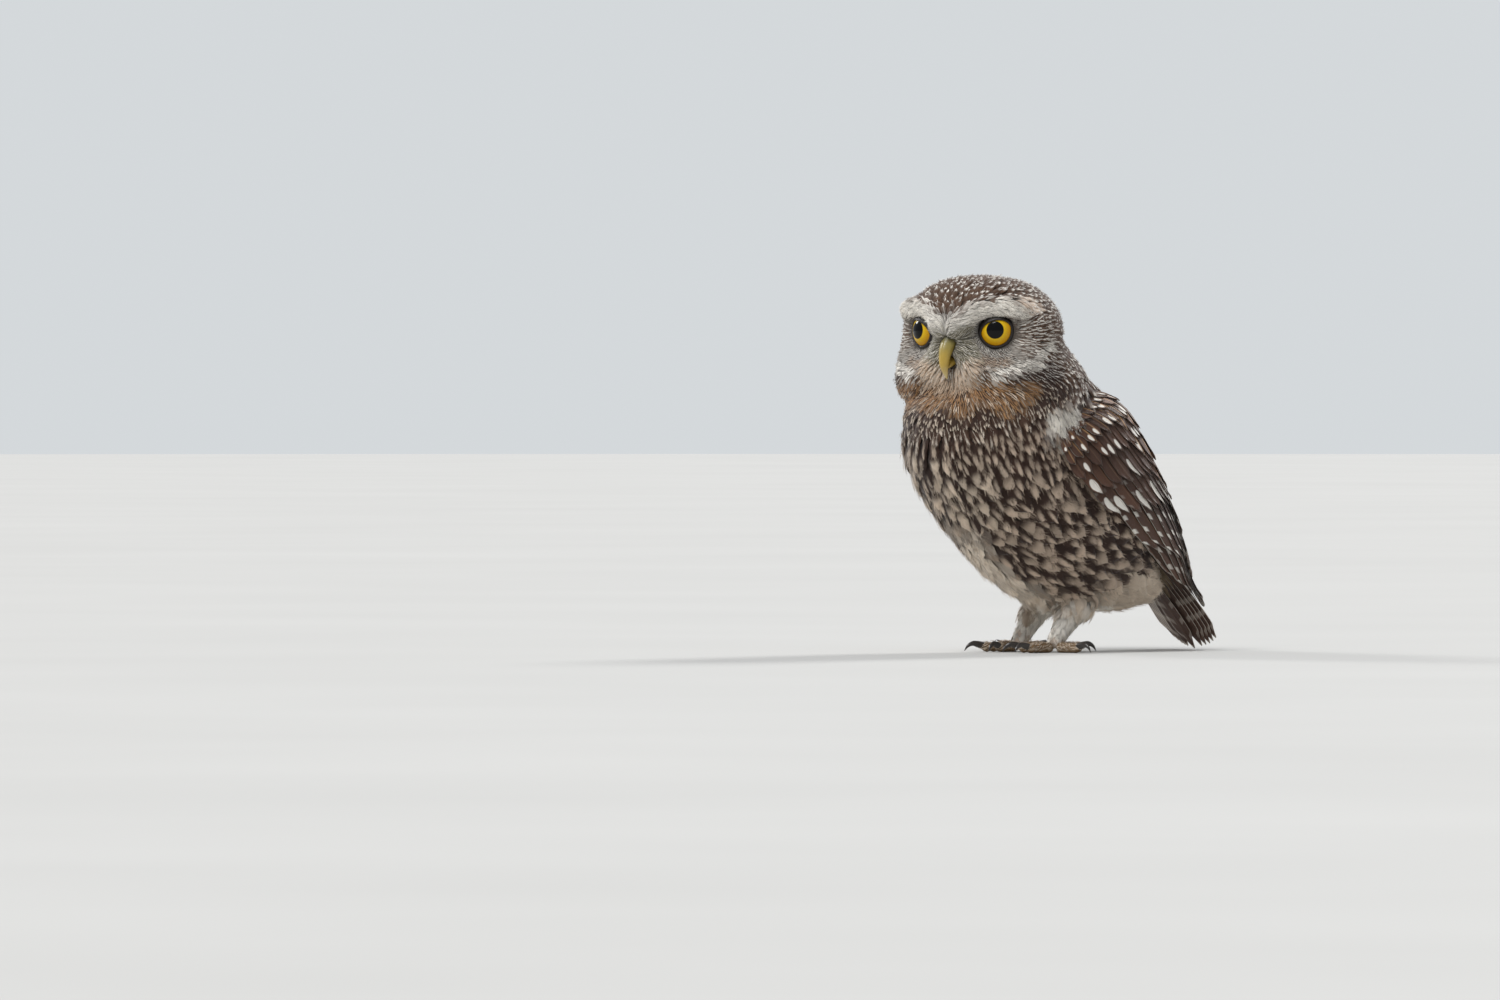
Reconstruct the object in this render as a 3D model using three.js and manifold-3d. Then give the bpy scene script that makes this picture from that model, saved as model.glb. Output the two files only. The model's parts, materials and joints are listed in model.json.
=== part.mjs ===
// Little owl (Athene noctua) standing alert, life size: closed wings, short tail, head turned to its left.
// Millimetres, +Z up. The owl faces -Y, its left side is at +X, and its toes stand on the floor at z = 0.
// The last lines set the origin on the floor, under the middle of the whole owl.
import * as THREE from "three";
import { mergeVertices } from "three/addons/utils/BufferGeometryUtils.js";
import Module from "manifold-3d";

const wasm = await Module();
wasm.setup();
const { clamp, degToRad, lerp, seededRandom, smoothstep } = THREE.MathUtils;

// Driving sizes. Places are [to the owl's left, ahead, up] or [ahead, up] from the floor between the feet.
const GAP = 0.3; // clearance between neighbouring solids
const HEAD_FORE = 32; // head centre ahead of the feet
const HEAD_UP = 149.5; // head centre above the floor
const HEAD_YAW = degToRad(22); // head turned to the owl's left
const HEAD_SIDE_R = 40;
const HEAD_TOP_R = 31.5;
const HEAD_LOW_R = 31.5;
const HEAD_FACE_R = 30;
const HEAD_BACK_R = 34;
const EYE_R = 9.5;
const EYE_APERTURE_R = 7.7;
const EYE_SIDE = 20.6; // iris disc centre, from the head's middle plane
const EYE_FORE = 19.6;
const EYE_UP = 4.6;
const EYE_SPLAY = degToRad(23); // each eye looks this far outwards
const LID_R = 1.25;
const DISC_FLAT_R = 8.5; // flat seat about each eye, in the facial disc
const DISC_R = 18;
const BILL_TOP_FORE = 28.5; // where the bill leaves the face, from the head's centre
const BILL_TOP_UP = 1.5;
const BILL_LENGTH = 20;
const TAIL_ROOT = [-51, 59]; // [ahead, up] of the quills' root
const TAIL_TIP = [-97.5, 2.1]; // [ahead, up] of the middle quills' tips
const TAIL_HALF_WIDTH = 22;
const TAIL_ARCH = 4.5; // the middle quills lie this far over the outer ones
const FOOT_SIDE = 14.5; // each foot, from the middle plane
const FOOT_FORE = -1;
const TOE_R = 3.2;

const vec = (x, y, z) => new THREE.Vector3(x, y, z);
const at = (side, fore, up) => vec(side, -fore, up);
const SIDEWAYS = vec(1, 0, 0);
const UPWARDS = vec(0, 0, 1);
const UPRIGHT = vec(0, 1, 0); // upwards in the head's own frame

// Solids
function manifoldOf(points, faces) {
  return new wasm.Manifold(
    new wasm.Mesh({ numProp: 3, vertProperties: points, triVerts: faces }),
  );
}

// A closed geometry as a solid, with its faces turned outwards.
function solid(geometry) {
  const bare = geometry.index ? geometry.toNonIndexed() : geometry.clone();
  bare.deleteAttribute("normal");
  bare.deleteAttribute("uv");
  const merged = mergeVertices(bare, 1e-3);
  const points = merged.attributes.position.array;
  const faces = new Uint32Array(merged.index.array);
  const made = manifoldOf(points, faces);
  return made.volume() > 0 ? made : manifoldOf(points, faces.reverse());
}

function largest(manifold) {
  const bodies = manifold.decompose();
  return bodies.reduce((a, b) => (a.volume() > b.volume() ? a : b));
}

const joined = (solids) => solids.reduce((a, b) => a.add(b));
const mirrored = (manifold) => manifold.mirror([1, 0, 0]);

function geometryOf(manifold) {
  const mesh = manifold.getMesh();
  const points = new Float32Array(mesh.numVert * 3);
  for (let i = 0; i < mesh.numVert; i++) {
    const first = i * mesh.numProp;
    points.set(mesh.vertProperties.subarray(first, first + 3), i * 3);
  }
  const geometry = new THREE.BufferGeometry();
  geometry.setAttribute("position", new THREE.BufferAttribute(points, 3));
  geometry.setIndex(new THREE.BufferAttribute(mesh.triVerts, 1));
  geometry.computeVertexNormals();
  return geometry;
}

const owl = new THREE.Group();

function addNode(name, manifold, material) {
  const mesh = new THREE.Mesh(geometryOf(largest(manifold)), material);
  mesh.name = name;
  owl.add(mesh);
}

// Moves each vertex of a geometry by a function of its place.
function reshape(geometry, place) {
  const positions = geometry.attributes.position;
  const p = vec(0, 0, 0);
  for (let i = 0; i < positions.count; i++) {
    p.fromBufferAttribute(positions, i);
    const q = place(p);
    positions.setXYZ(i, q.x, q.y, q.z);
  }
  return geometry;
}

// A closed slab over the unit square, split into alike triangles on both faces.
// place(across, along, layer) gives its points, with layer 0 outside and 1 inside.
function sheetSolid(stepsAcross, stepsAlong, place) {
  const plane = new THREE.PlaneGeometry(1, 1, stepsAcross, stepsAlong);
  const grid = plane.attributes.position;
  const columns = stepsAcross + 1;
  const points = [0, 1].flatMap((layer) =>
    Array.from({ length: grid.count }, (_, i) =>
      place(grid.getX(i) + 0.5, 0.5 - grid.getY(i), layer),
    ),
  );
  const front = Array.from(plane.index.array);
  const back = front.map((corner) => corner + grid.count).reverse();
  const rim = [];
  for (let i = 0; i < stepsAcross; i++) rim.push(i);
  for (let j = 0; j < stepsAlong; j++) rim.push(j * columns + stepsAcross);
  for (let i = stepsAcross; i > 0; i--) rim.push(stepsAlong * columns + i);
  for (let j = stepsAlong; j > 0; j--) rim.push(j * columns);
  const wall = rim.flatMap((a, k) => {
    const b = rim[(k + 1) % rim.length];
    return [a, b, b + grid.count, a, b + grid.count, a + grid.count];
  });
  const geometry = new THREE.BufferGeometry().setFromPoints(points);
  geometry.setIndex([...front, ...back, ...wall]);
  return solid(geometry);
}

// A tapered rod along a curve, from [width, depth] radii at even steps along it.
function hornGeometry(curve, radii, sides, steps, across = SIDEWAYS) {
  const rod = new THREE.CylinderGeometry(1, 1, 1, sides, steps);
  const widths = new THREE.SplineCurve(
    radii.map(([wide, deep]) => new THREE.Vector2(wide, deep)),
  );
  return reshape(rod, (p) => {
    const along = p.y + 0.5;
    const depth = across.clone().cross(curve.getTangent(along)).normalize();
    const size = widths.getPoint(along);
    return curve
      .getPoint(along)
      .addScaledVector(across, p.x * size.x)
      .addScaledVector(depth, p.z * size.y);
  });
}

const curveThrough = (points) => new THREE.CatmullRomCurve3(points);
const bump = (distance, width) => Math.exp(-((distance / width) ** 2));

// Materials, by colour in the photo
const finish = (color, roughness) =>
  new THREE.MeshStandardMaterial({ color, roughness, metalness: 0 });
const crownBrown = finish(0x6b5342, 0.9);
const breastPale = finish(0x9a8872, 0.9);
const wingBrown = finish(0x4a3226, 0.85);
const tailBrown = finish(0x5a4030, 0.85);
const legWhite = finish(0xd9cfbd, 0.9);
const toeBuff = finish(0x9a8260, 0.8);
const clawBlack = finish(0x2a2622, 0.4);
const billYellow = finish(0xc9a83c, 0.45);
const eyeYellow = finish(0xe6bd1c, 0.1);

// Trunk: stations from inside the head, over the breast, to the coverts under the tail. Each has
// its belly and back points in the middle plane, as [ahead, up], and its half width.
const TRUNK = [
  { belly: [42, 158], back: [14, 162], half: 14 },
  { belly: [48, 147], back: [-5, 153], half: 31 },
  { belly: [56, 131], back: [-17, 139], half: 39.5 },
  { belly: [70.5, 113], back: [-33, 123], half: 43.5 },
  { belly: [70, 91], back: [-44, 105], half: 43 },
  { belly: [57, 68.5], back: [-55, 87], half: 42 },
  { belly: [39, 48], back: [-63, 70], half: 38.5 },
  { belly: [17, 30], back: [-67, 56], half: 33 },
  { belly: [-9, 19], back: [-69, 45], half: 26.5 },
  { belly: [-37, 18], back: [-70, 36], half: 19 },
  { belly: [-62, 21.5], back: [-76, 27], half: 10 },
];
const TRUNK_AROUND = 28;
const TRUNK_ALONG = 22;
const trunkBelly = curveThrough(TRUNK.map((s) => at(0, ...s.belly)));
const trunkBack = curveThrough(TRUNK.map((s) => at(0, ...s.back)));
const trunkHalf = curveThrough(TRUNK.map((s, i) => vec(s.half, i, 0)));

// The trunk's surface: along is 0 in the head and 1 under the tail, angle 0 at the belly and PI at the back.
function trunkPoint(along, angle, grow) {
  const belly = trunkBelly.getPoint(along);
  const back = trunkBack.getPoint(along);
  const middle = belly.clone().add(back).multiplyScalar(0.5);
  const toBelly = belly.clone().sub(middle);
  const deep = toBelly.length() + grow;
  const wide = trunkHalf.getPoint(along).x + grow;
  return middle
    .addScaledVector(toBelly.normalize(), deep * Math.cos(angle))
    .addScaledVector(SIDEWAYS, wide * Math.sin(angle));
}

// A ball whose poles lie on the trunk's axis is pulled over its stations.
function trunkSolid(grow) {
  const ball = new THREE.SphereGeometry(1, TRUNK_AROUND, TRUNK_ALONG);
  reshape(ball, (p) => {
    const along = Math.acos(clamp(p.y, -1, 1)) / Math.PI;
    if (Math.hypot(p.x, p.z) > 1e-4)
      return trunkPoint(along, Math.atan2(p.x, p.z), grow);
    const middle = trunkBelly.getPoint(along).add(trunkBack.getPoint(along));
    return middle.multiplyScalar(0.5);
  });
  return solid(ball);
}

// Head: its own frame has x to the owl's left, y up and z ahead.
const headFrame = new THREE.Matrix4()
  .makeTranslation(at(0, HEAD_FORE, HEAD_UP))
  .multiply(new THREE.Matrix4().makeRotationZ(HEAD_YAW))
  .multiply(new THREE.Matrix4().makeRotationX(Math.PI / 2));
const placed = (geometry) => solid(geometry.applyMatrix4(headFrame));

const BOX_POWER = 2.35; // above 2 squares the head off a little
const JOWL_POWER = 4.5; // the lower face is fuller than the crown
const DISC_SINK = 0.5; // the disc's floor lies this far behind the lids' plane
const BROW_HEIGHT = 2.6;
const BROW_WIDTH = 0.16; // in radians about the head's centre, as the swellings' widths are
const BROW = [vec(2, 6.5, 29), vec(12, 13.5, 26.5), vec(23, 15.5, 20.5), vec(31, 13.5, 14)];
const SWELLINGS = [
  { towards: vec(12, -12, 26), height: 2.8, width: 0.24 }, // whiskers beside the bill
  { towards: vec(30, -15, 16), height: 1.6, width: 0.35 }, // cheek
  { towards: vec(34, -26, 6), height: 4, width: 0.4 }, // ruff below the cheek
  { towards: vec(0, -27, 21), height: 3, width: 0.24 }, // chin
  { towards: vec(0, -13.5, 30), height: -2.4, width: 0.15 }, // hollow behind the bill
];

const eyeAxis = (mirror) =>
  vec(mirror * Math.sin(EYE_SPLAY), 0, Math.cos(EYE_SPLAY));
const irisPlace = (mirror) => vec(mirror * EYE_SIDE, EYE_UP, EYE_FORE);
const IRIS_DEPTH = Math.sqrt(EYE_R ** 2 - EYE_APERTURE_R ** 2);

// The angle at the head's centre between a direction and the line of a brow.
function browAngle(d, mirror) {
  const line = new THREE.Line3();
  const near = vec(0, 0, 0);
  const side = vec(mirror, 1, 1);
  const angles = BROW.slice(1).map((end, i) => {
    const start = BROW[i].clone().multiply(side).normalize();
    line.set(start, end.clone().multiply(side).normalize());
    line.closestPointToPoint(d, true, near);
    return d.angleTo(near);
  });
  return Math.min(...angles);
}

// The head's outline in the direction d: a squared ball with brows, cheeks and the facial disc's two dishes.
function headRadius(d) {
  const depth = d.z > 0 ? HEAD_FACE_R : HEAD_BACK_R;
  const height = d.y > 0 ? HEAD_TOP_R : HEAD_LOW_R;
  const power = d.y > 0 ? BOX_POWER : JOWL_POWER;
  const level =
    Math.abs(d.x / HEAD_SIDE_R) ** BOX_POWER + Math.abs(d.z / depth) ** BOX_POWER;
  const sum = level ** (power / BOX_POWER) + Math.abs(d.y / height) ** power;
  let r = sum ** (-1 / power);
  for (const { towards, height: rise, width } of SWELLINGS)
    for (const mirror of towards.x ? [1, -1] : [1]) {
      const there = vec(mirror * towards.x, towards.y, towards.z);
      r += rise * bump(d.angleTo(there), width);
    }
  for (const mirror of [1, -1]) {
    const ahead = d.dot(eyeAxis(mirror));
    if (ahead > 0) {
      const floor = irisPlace(mirror).dot(eyeAxis(mirror)) / ahead;
      const away = d.clone().multiplyScalar(floor).distanceTo(irisPlace(mirror));
      r = lerp(floor - DISC_SINK, r, smoothstep(away, DISC_FLAT_R, DISC_R));
    }
    r += BROW_HEIGHT * bump(browAngle(d, mirror), BROW_WIDTH);
  }
  return r;
}

// A ball with its pole at the bill, whose rings crowd towards the face.
const FACE_CROWDING = 1.15;
const HEAD_AROUND = 44;
const HEAD_ALONG = 29;
function headSolid(grow) {
  const ball = new THREE.SphereGeometry(1, HEAD_AROUND, HEAD_ALONG);
  reshape(ball, (p) => {
    const share = Math.acos(clamp(p.y, -1, 1)) / Math.PI;
    const polar = Math.PI * share ** FACE_CROWDING;
    const d = vec(0, 0, 1).applyAxisAngle(UPRIGHT, polar);
    d.applyAxisAngle(vec(0, 0, 1), Math.atan2(p.z, p.x));
    return d.multiplyScalar(headRadius(d) + grow);
  });
  return placed(ball);
}

// Things about an eye are made with their pole at the pupil, then turned to look along its axis.
function setInEye(geometry, mirror) {
  const turn = new THREE.Quaternion().setFromUnitVectors(UPRIGHT, eyeAxis(mirror));
  const centre = irisPlace(mirror).addScaledVector(eyeAxis(mirror), -IRIS_DEPTH);
  return placed(geometry.applyQuaternion(turn).translate(...centre));
}

// An eye is a ball's front part, closed by a flat back that the head hides.
const EYE_BACK_ANGLE = degToRad(78);
const EYE_RINGS = 7;
const EYE_AROUND = 20;
function eyeSolid(mirror, grow) {
  const profile = Array.from({ length: EYE_RINGS + 1 }, (_, i) => {
    const angle = (EYE_BACK_ANGLE * i) / EYE_RINGS;
    return new THREE.Vector2(Math.sin(angle), Math.cos(angle)).multiplyScalar(EYE_R + grow);
  });
  profile.push(new THREE.Vector2(0, profile[EYE_RINGS].y - grow));
  profile[EYE_RINGS].y -= grow;
  return setInEye(new THREE.LatheGeometry(profile, EYE_AROUND), mirror);
}

// The lids: a rounded rim about each eye's opening.
const LID_MIDDLE_R = EYE_APERTURE_R + 0.6;
const LID_SIDES = 6;
function lidSolid(mirror) {
  const ring = new THREE.TorusGeometry(LID_MIDDLE_R, LID_R, LID_SIDES, EYE_AROUND);
  ring.rotateX(Math.PI / 2).translate(0, IRIS_DEPTH, 0);
  return setInEye(ring, mirror);
}

// Bill, in the head's frame: the upper part hooks down over the lower one.
const billPoint = (up, fore) =>
  vec(0, BILL_TOP_UP - up * BILL_LENGTH, BILL_TOP_FORE + fore);
const upperBillCurve = curveThrough([
  billPoint(0, -8),
  billPoint(0.07, -1),
  billPoint(0.34, 3.7),
  billPoint(0.69, 4.8),
  billPoint(1, 2.2),
]);
const UPPER_BILL = [
  [4.2, 4.0],
  [4.0, 3.8],
  [3.3, 3.1],
  [2.2, 2.1],
  [0.25, 0.3],
];
const lowerBillCurve = curveThrough([
  billPoint(0.5, -7),
  billPoint(0.62, -0.5),
  billPoint(0.78, 2.4),
]);
const LOWER_BILL = [
  [3.7, 2.4],
  [3.1, 2.0],
  [1.2, 0.8],
];
const BILL_SIDES = { upper: 14, lower: 12 };
const BILL_STEPS = { upper: 10, lower: 5 };
const lowerBillSolid = (grow) => {
  const radii = LOWER_BILL.map(([wide, deep]) => [wide + grow, deep + grow]);
  return placed(hornGeometry(lowerBillCurve, radii, BILL_SIDES.lower, BILL_STEPS.lower));
};
const upperBillSolid = (grow) => {
  const radii = UPPER_BILL.map(([wide, deep]) => [wide + grow, deep + grow]);
  return placed(hornGeometry(upperBillCurve, radii, BILL_SIDES.upper, BILL_STEPS.upper));
};

// An egg-shaped cutter in the head's frame, for the nostrils and the line of the mouth.
const CUTTER_FACETS = [8, 6];
function cutter(centre, radii, turn) {
  const ball = new THREE.SphereGeometry(1, ...CUTTER_FACETS).scale(...radii);
  return placed(ball.rotateZ(turn).translate(...centre));
}
const NOSTRIL = { side: 3.5, up: -2.6, fore: 29.6, radii: [0.9, 1.3, 0.9], turn: 0.3 };
const GAPE = { side: 7.2, up: -10.5, fore: 28, radii: [4.4, 0.55, 3.2], turn: -0.5 };
const bothSides = (make) => joined([make(1), make(-1)]);
const cutOf = (shape) =>
  bothSides((mirror) =>
    cutter(vec(mirror * shape.side, shape.up, shape.fore), shape.radii, mirror * shape.turn),
  );

const headShell = headSolid(GAP);
const head = headSolid(0)
  .add(bothSides(lidSolid))
  .subtract(bothSides((mirror) => eyeSolid(mirror, GAP)))
  .subtract(upperBillSolid(GAP))
  .subtract(lowerBillSolid(GAP))
  .subtract(cutOf(GAPE));
addNode("head", head, crownBrown);
addNode("eye_left", eyeSolid(1, 0), eyeYellow);
addNode("eye_right", eyeSolid(-1, 0), eyeYellow);
addNode("bill_upper", upperBillSolid(0).subtract(cutOf(NOSTRIL)), billYellow);
addNode("bill_lower", lowerBillSolid(0).subtract(upperBillSolid(GAP)), billYellow);

// A thick slab across the trunk, tilted as the neck is, whose face parts the neck from the torso.
const NECK_CUT = { fore: 28, up: 121, lean: degToRad(-12) };
const SLAB = 240;
function neckSlab(direction) {
  const lift = direction * (SLAB / 2 + GAP / 2);
  const box = new THREE.BoxGeometry(SLAB, SLAB, SLAB).translate(0, 0, lift);
  return solid(box.rotateX(NECK_CUT.lean).translate(...at(0, NECK_CUT.fore, NECK_CUT.up)));
}

const trunk = trunkSolid(0).subtract(headShell);
const trunkShell = trunkSolid(GAP);
addNode("neck", trunk.intersect(neckSlab(1)), breastPale);

// Closed wing: sections from the shoulder to the tip, each with its upper edge near the back's
// middle, the ridge behind, its outermost part and its lower edge, as [left, ahead, up] on the
// owl's left.
const WING = [
  { top: [16, -8, 131], ridge: [29, -2, 126], out: [38, 9, 116], low: [43, 18, 102] },
  { top: [10, -33, 121], ridge: [29, -28, 119], out: [42, -8, 108], low: [46.5, 12, 88] },
  { top: [5, -48, 107], ridge: [28, -41.5, 105], out: [42.5, -22, 93], low: [46.5, -1, 74] },
  { top: [3, -60, 89], ridge: [25, -54, 88], out: [38.5, -39, 77], low: [43.5, -17, 62] },
  { top: [3, -71, 71], ridge: [20, -67.5, 69], out: [31.5, -56, 60], low: [36, -37, 50] },
  { top: [3, -79.5, 54], ridge: [14.5, -78, 52], out: [23, -70, 46], low: [27, -57, 38] },
  { top: [4, -86, 39], ridge: [10.5, -85, 36.5], out: [15.5, -82, 32], low: [18.5, -76, 28] },
  { top: [7.5, -93, 21.5], ridge: [9, -94.5, 20.5], out: [11, -94, 19], low: [12.5, -93, 17.5] },
];
const wingEdges = ["top", "ridge", "out", "low"].map((edge) =>
  curveThrough(WING.map((s) => at(...s[edge]))),
);

// The wing's outer surface: across is 0 at the upper edge and 1 at the lower, along 0 at the
// shoulder and 1 at the tip. Each section is a smooth curve through its four points.
function wingPoint(across, along) {
  const section = curveThrough(wingEdges.map((edge) => edge.getPoint(along)));
  return section.getPoint(across);
}

const SLOPE_STEP = 0.02;
function wingNormal(across, along) {
  const around = (x) => [Math.max(0, x - SLOPE_STEP), Math.min(1, x + SLOPE_STEP)];
  const [u0, u1] = around(across);
  const [v0, v1] = around(along);
  const du = wingPoint(u1, along).sub(wingPoint(u0, along));
  const dv = wingPoint(across, v1).sub(wingPoint(across, v0));
  return du.cross(dv).normalize();
}

// A place over the wing's surface, also sideways past its edges, where the surface runs on straight.
function wingOver(across, along, sideways, height) {
  const span = wingPoint(0, along).distanceTo(wingPoint(1, along));
  const wanted = across + sideways / span;
  const inside = clamp(wanted, 0, 1);
  const inner = clamp(wanted, SLOPE_STEP, 1 - SLOPE_STEP);
  const edge = wingPoint(inside, along);
  const beyond = inside === inner ? 0 : (wanted - inside) / (inside - inner);
  return edge
    .addScaledVector(edge.clone().sub(wingPoint(inner, along)), beyond)
    .addScaledVector(wingNormal(inside, along), height);
}

// The wing's core lies under its feathers, and comes up to the surface at the shoulder.
const CORE_TIP_DEPTH = 2.2;
const CORE_ROOT_DEPTH = 12;
const CORE_SINK = 1.7;
const CORE_ACROSS = [0.05, 0.94];
const CORE_END = 0.87;
function wingCore() {
  return sheetSolid(4, 8, (across, along, layer) => {
    const v = along * CORE_END;
    const sink = CORE_SINK * smoothstep(v, 0.05, 0.25);
    const depth = CORE_TIP_DEPTH + CORE_ROOT_DEPTH * (1 - v) ** 1.1;
    return wingOver(lerp(...CORE_ACROSS, across), v, 0, layer ? -depth : -sink);
  });
}

// A feather's vane over a surface, from a narrow sunken root to a rounded tip that stands off it.
// One edge lies higher than the other, as on a tiled roof.
const VANE_THICK = 0.6;
const VANE_ROUNDING = 0.07; // its edges end this share of the length before the tip
const VANE_CROWDING = 0.6; // below 1 draws its steps towards the tip
const VANE_WIDTHS = curveThrough([vec(0.3, 0, 0), vec(0.75, 0, 0), vec(1, 0, 0), vec(0.5, 0, 0)]);
function vaneSolid({ surface, root, tip, half, rise, tilt, steps }) {
  return sheetSolid(2, steps, (across, along, layer) => {
    const aside = 2 * across - 1;
    const share = along ** VANE_CROWDING;
    const rounded = share * (1 - VANE_ROUNDING * Math.abs(aside) * share);
    const place = root.clone().lerp(tip, rounded);
    const wide = half * VANE_WIDTHS.getPoint(share).x;
    const height = lerp(...rise, share) + tilt * aside - layer * VANE_THICK;
    return surface(place.x, place.y, wide * aside, height);
  });
}

// Tiers of wing feathers, from the lowest layer up. Roots and tips run from the feather nearest
// the back to the one nearest the lower edge, as [across, along] on the wing. A rise is the height
// over the wing's surface at the root and at the tip, and a stack how much higher the first feather
// lies than the last.
const WING_TIERS = {
  primaries: {
    count: 6,
    half: 4.6,
    roots: [[0.34, 0.6], [0.6, 0.5], [0.9, 0.42]],
    tips: [[0.2, 0.96], [0.5, 1], [0.75, 0.87]],
    rise: [-3.4, -0.8],
    stack: 3.4,
    tilt: 0.7,
    steps: 3,
  },
  secondaries: {
    count: 7,
    half: 4.4,
    roots: [[0.2, 0.46], [0.5, 0.39], [0.86, 0.3]],
    tips: [[0.16, 0.86], [0.45, 0.8], [0.86, 0.62]],
    rise: [-3.2, 0.2],
    stack: 2.2,
    tilt: 0.8,
    steps: 3,
  },
  tertials: {
    count: 2,
    half: 6,
    roots: [[0.14, 0.36], [0.28, 0.32]],
    tips: [[0.12, 0.72], [0.3, 0.68]],
    rise: [-3.2, 0.9],
    stack: 0.8,
    tilt: 0.8,
    steps: 3,
  },
  greaterCoverts: {
    count: 6,
    half: 5.2,
    roots: [[0.36, 0.31], [0.6, 0.26], [0.9, 0.19]],
    tips: [[0.38, 0.54], [0.62, 0.5], [0.92, 0.42]],
    rise: [-3, 0.5],
    stack: 1,
    tilt: 0.8,
    steps: 2,
  },
  medianCoverts: {
    count: 5,
    half: 5.6,
    roots: [[0.42, 0.19], [0.6, 0.15], [0.86, 0.09]],
    tips: [[0.44, 0.38], [0.64, 0.35], [0.9, 0.28]],
    rise: [-3, 0.8],
    stack: 1,
    tilt: 0.8,
    steps: 2,
  },
  longScapulars: {
    count: 3,
    half: 6,
    roots: [[0.12, 0.26], [0.26, 0.22], [0.4, 0.16]],
    tips: [[0.12, 0.56], [0.28, 0.52], [0.46, 0.42]],
    rise: [-3, 1.2],
    stack: 0.8,
    tilt: 0.8,
    steps: 2,
  },
  shortScapulars: {
    count: 3,
    half: 6,
    roots: [[0.16, 0.12], [0.3, 0.08], [0.44, 0.03]],
    tips: [[0.14, 0.38], [0.32, 0.34], [0.5, 0.25]],
    rise: [-2.4, 1.4],
    stack: 0.8,
    tilt: 0.8,
    steps: 2,
  },
};
const FEATHER_SEED = 7;
const LENGTH_SPREAD = 0.06; // as a share of each feather's length
const WIDTH_SPREAD = 0.12;
const varied = (spread) => 1 + spread * (seededRandom() - 0.5);
const throughPairs = (pairs) => new THREE.SplineCurve(pairs.map((p) => new THREE.Vector2(...p)));

function wingTier({ count, half, roots, tips, rise, stack, tilt, steps }) {
  const rootLine = throughPairs(roots);
  const tipLine = throughPairs(tips);
  return Array.from({ length: count }, (_, i) => {
    const root = rootLine.getPoint(i / (count - 1));
    const tip = tipLine.getPoint(i / (count - 1));
    tip.sub(root).multiplyScalar(varied(LENGTH_SPREAD)).add(root).clampScalar(0, 1);
    const lift = rise[1] + stack * (0.5 - i / (count - 1));
    return vaneSolid({
      surface: wingOver,
      root,
      tip,
      half: half * varied(WIDTH_SPREAD),
      rise: [rise[0], lift],
      tilt,
      steps,
    });
  });
}

// Tail: a fan that arches over its middle quills.
const tailRoot = at(0, ...TAIL_ROOT);
const tailDown = at(0, ...TAIL_TIP).sub(tailRoot);
const TAIL_LENGTH = tailDown.length();
tailDown.normalize();
const tailUp = tailDown.clone().cross(SIDEWAYS);

// The feathers' roots are sunk in a short core. The middle pair lies one over the other, on top,
// and each further pair under the one before it.
const TAIL_CORE = { start: 0.2, end: 0.6, top: 7, bottom: 19, height: 2.5 };
const TAIL_ROUNDING = 0.045;
const TAIL_PAIRS = 6;
const TAIL_VANE_HALF = 5.4;
const TAIL_VANE_START = 0.35;
const TAIL_STEP = 0.68; // from each vane to the next one below it
const MIDDLE_PAIR_SIDE = 0.8;
const tailOver = (aside, along, sideways, height) =>
  tailRoot
    .clone()
    .addScaledVector(SIDEWAYS, aside + sideways)
    .addScaledVector(tailDown, along * TAIL_LENGTH)
    .addScaledVector(tailUp, height);

function tailCore() {
  const { start, end, top, bottom, height } = TAIL_CORE;
  return sheetSolid(1, 1, (across, along, layer) => {
    const aside = (layer ? bottom : top) * (2 * across - 1);
    return tailOver(aside, lerp(start, end, along), 0, layer ? -height : height);
  });
}

// The room that the tail's neighbours leave it: flat over the middle pair, and falling to the sides.
const TAIL_ROOM_HEIGHT = 3.2;
const TAIL_ROOM_SLOPE = 0.26;
function tailRoom() {
  return sheetSolid(6, 1, (across, along, layer) => {
    const aside = (2 * across - 1) * (TAIL_HALF_WIDTH + 2 * GAP);
    const fall = TAIL_ROOM_SLOPE * Math.max(0, Math.abs(aside) - TAIL_CORE.top);
    const height = layer ? -TAIL_ROOM_HEIGHT : TAIL_ROOM_HEIGHT - fall;
    return tailOver(aside, along * 1.05, 0, height);
  });
}

function tailVane(pair, mirror) {
  const outwards = (pair - 1) / (TAIL_PAIRS - 2);
  const reach = lerp(TAIL_VANE_HALF + GAP, TAIL_HALF_WIDTH - TAIL_VANE_HALF, outwards);
  const side = mirror * (pair ? reach : MIDDLE_PAIR_SIDE);
  const below = pair ? pair + 1 : (1 - mirror) / 2;
  const level = TAIL_ARCH / 2 - TAIL_STEP * below;
  const length = (1 - TAIL_ROUNDING * Math.max(0, outwards) ** 2) * varied(0.02);
  return vaneSolid({
    surface: tailOver,
    root: new THREE.Vector2(side * 0.8, TAIL_VANE_START),
    tip: new THREE.Vector2(side, length),
    half: TAIL_VANE_HALF,
    rise: [level, level + 0.3],
    tilt: 0,
    steps: 2,
  });
}

seededRandom(FEATHER_SEED);
const wingFeathers = Object.values(WING_TIERS).flatMap(wingTier);
const middleCut = new THREE.BoxGeometry(SLAB, SLAB, SLAB).translate(GAP - SLAB / 2, 0, SLAB / 2);
const leftWing = joined([wingCore(), ...wingFeathers])
  .subtract(trunkShell)
  .subtract(headShell)
  .subtract(tailRoom())
  .subtract(solid(middleCut));
addNode("wing_left", leftWing, wingBrown);
addNode("wing_right", mirrored(leftWing), wingBrown);

const tailFeathers = Array.from({ length: TAIL_PAIRS }, (_, pair) => [
  tailVane(pair, 1),
  tailVane(pair, -1),
]).flat();
addNode("tail", joined([tailCore(), ...tailFeathers]).subtract(trunkShell), tailBrown);

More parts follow.
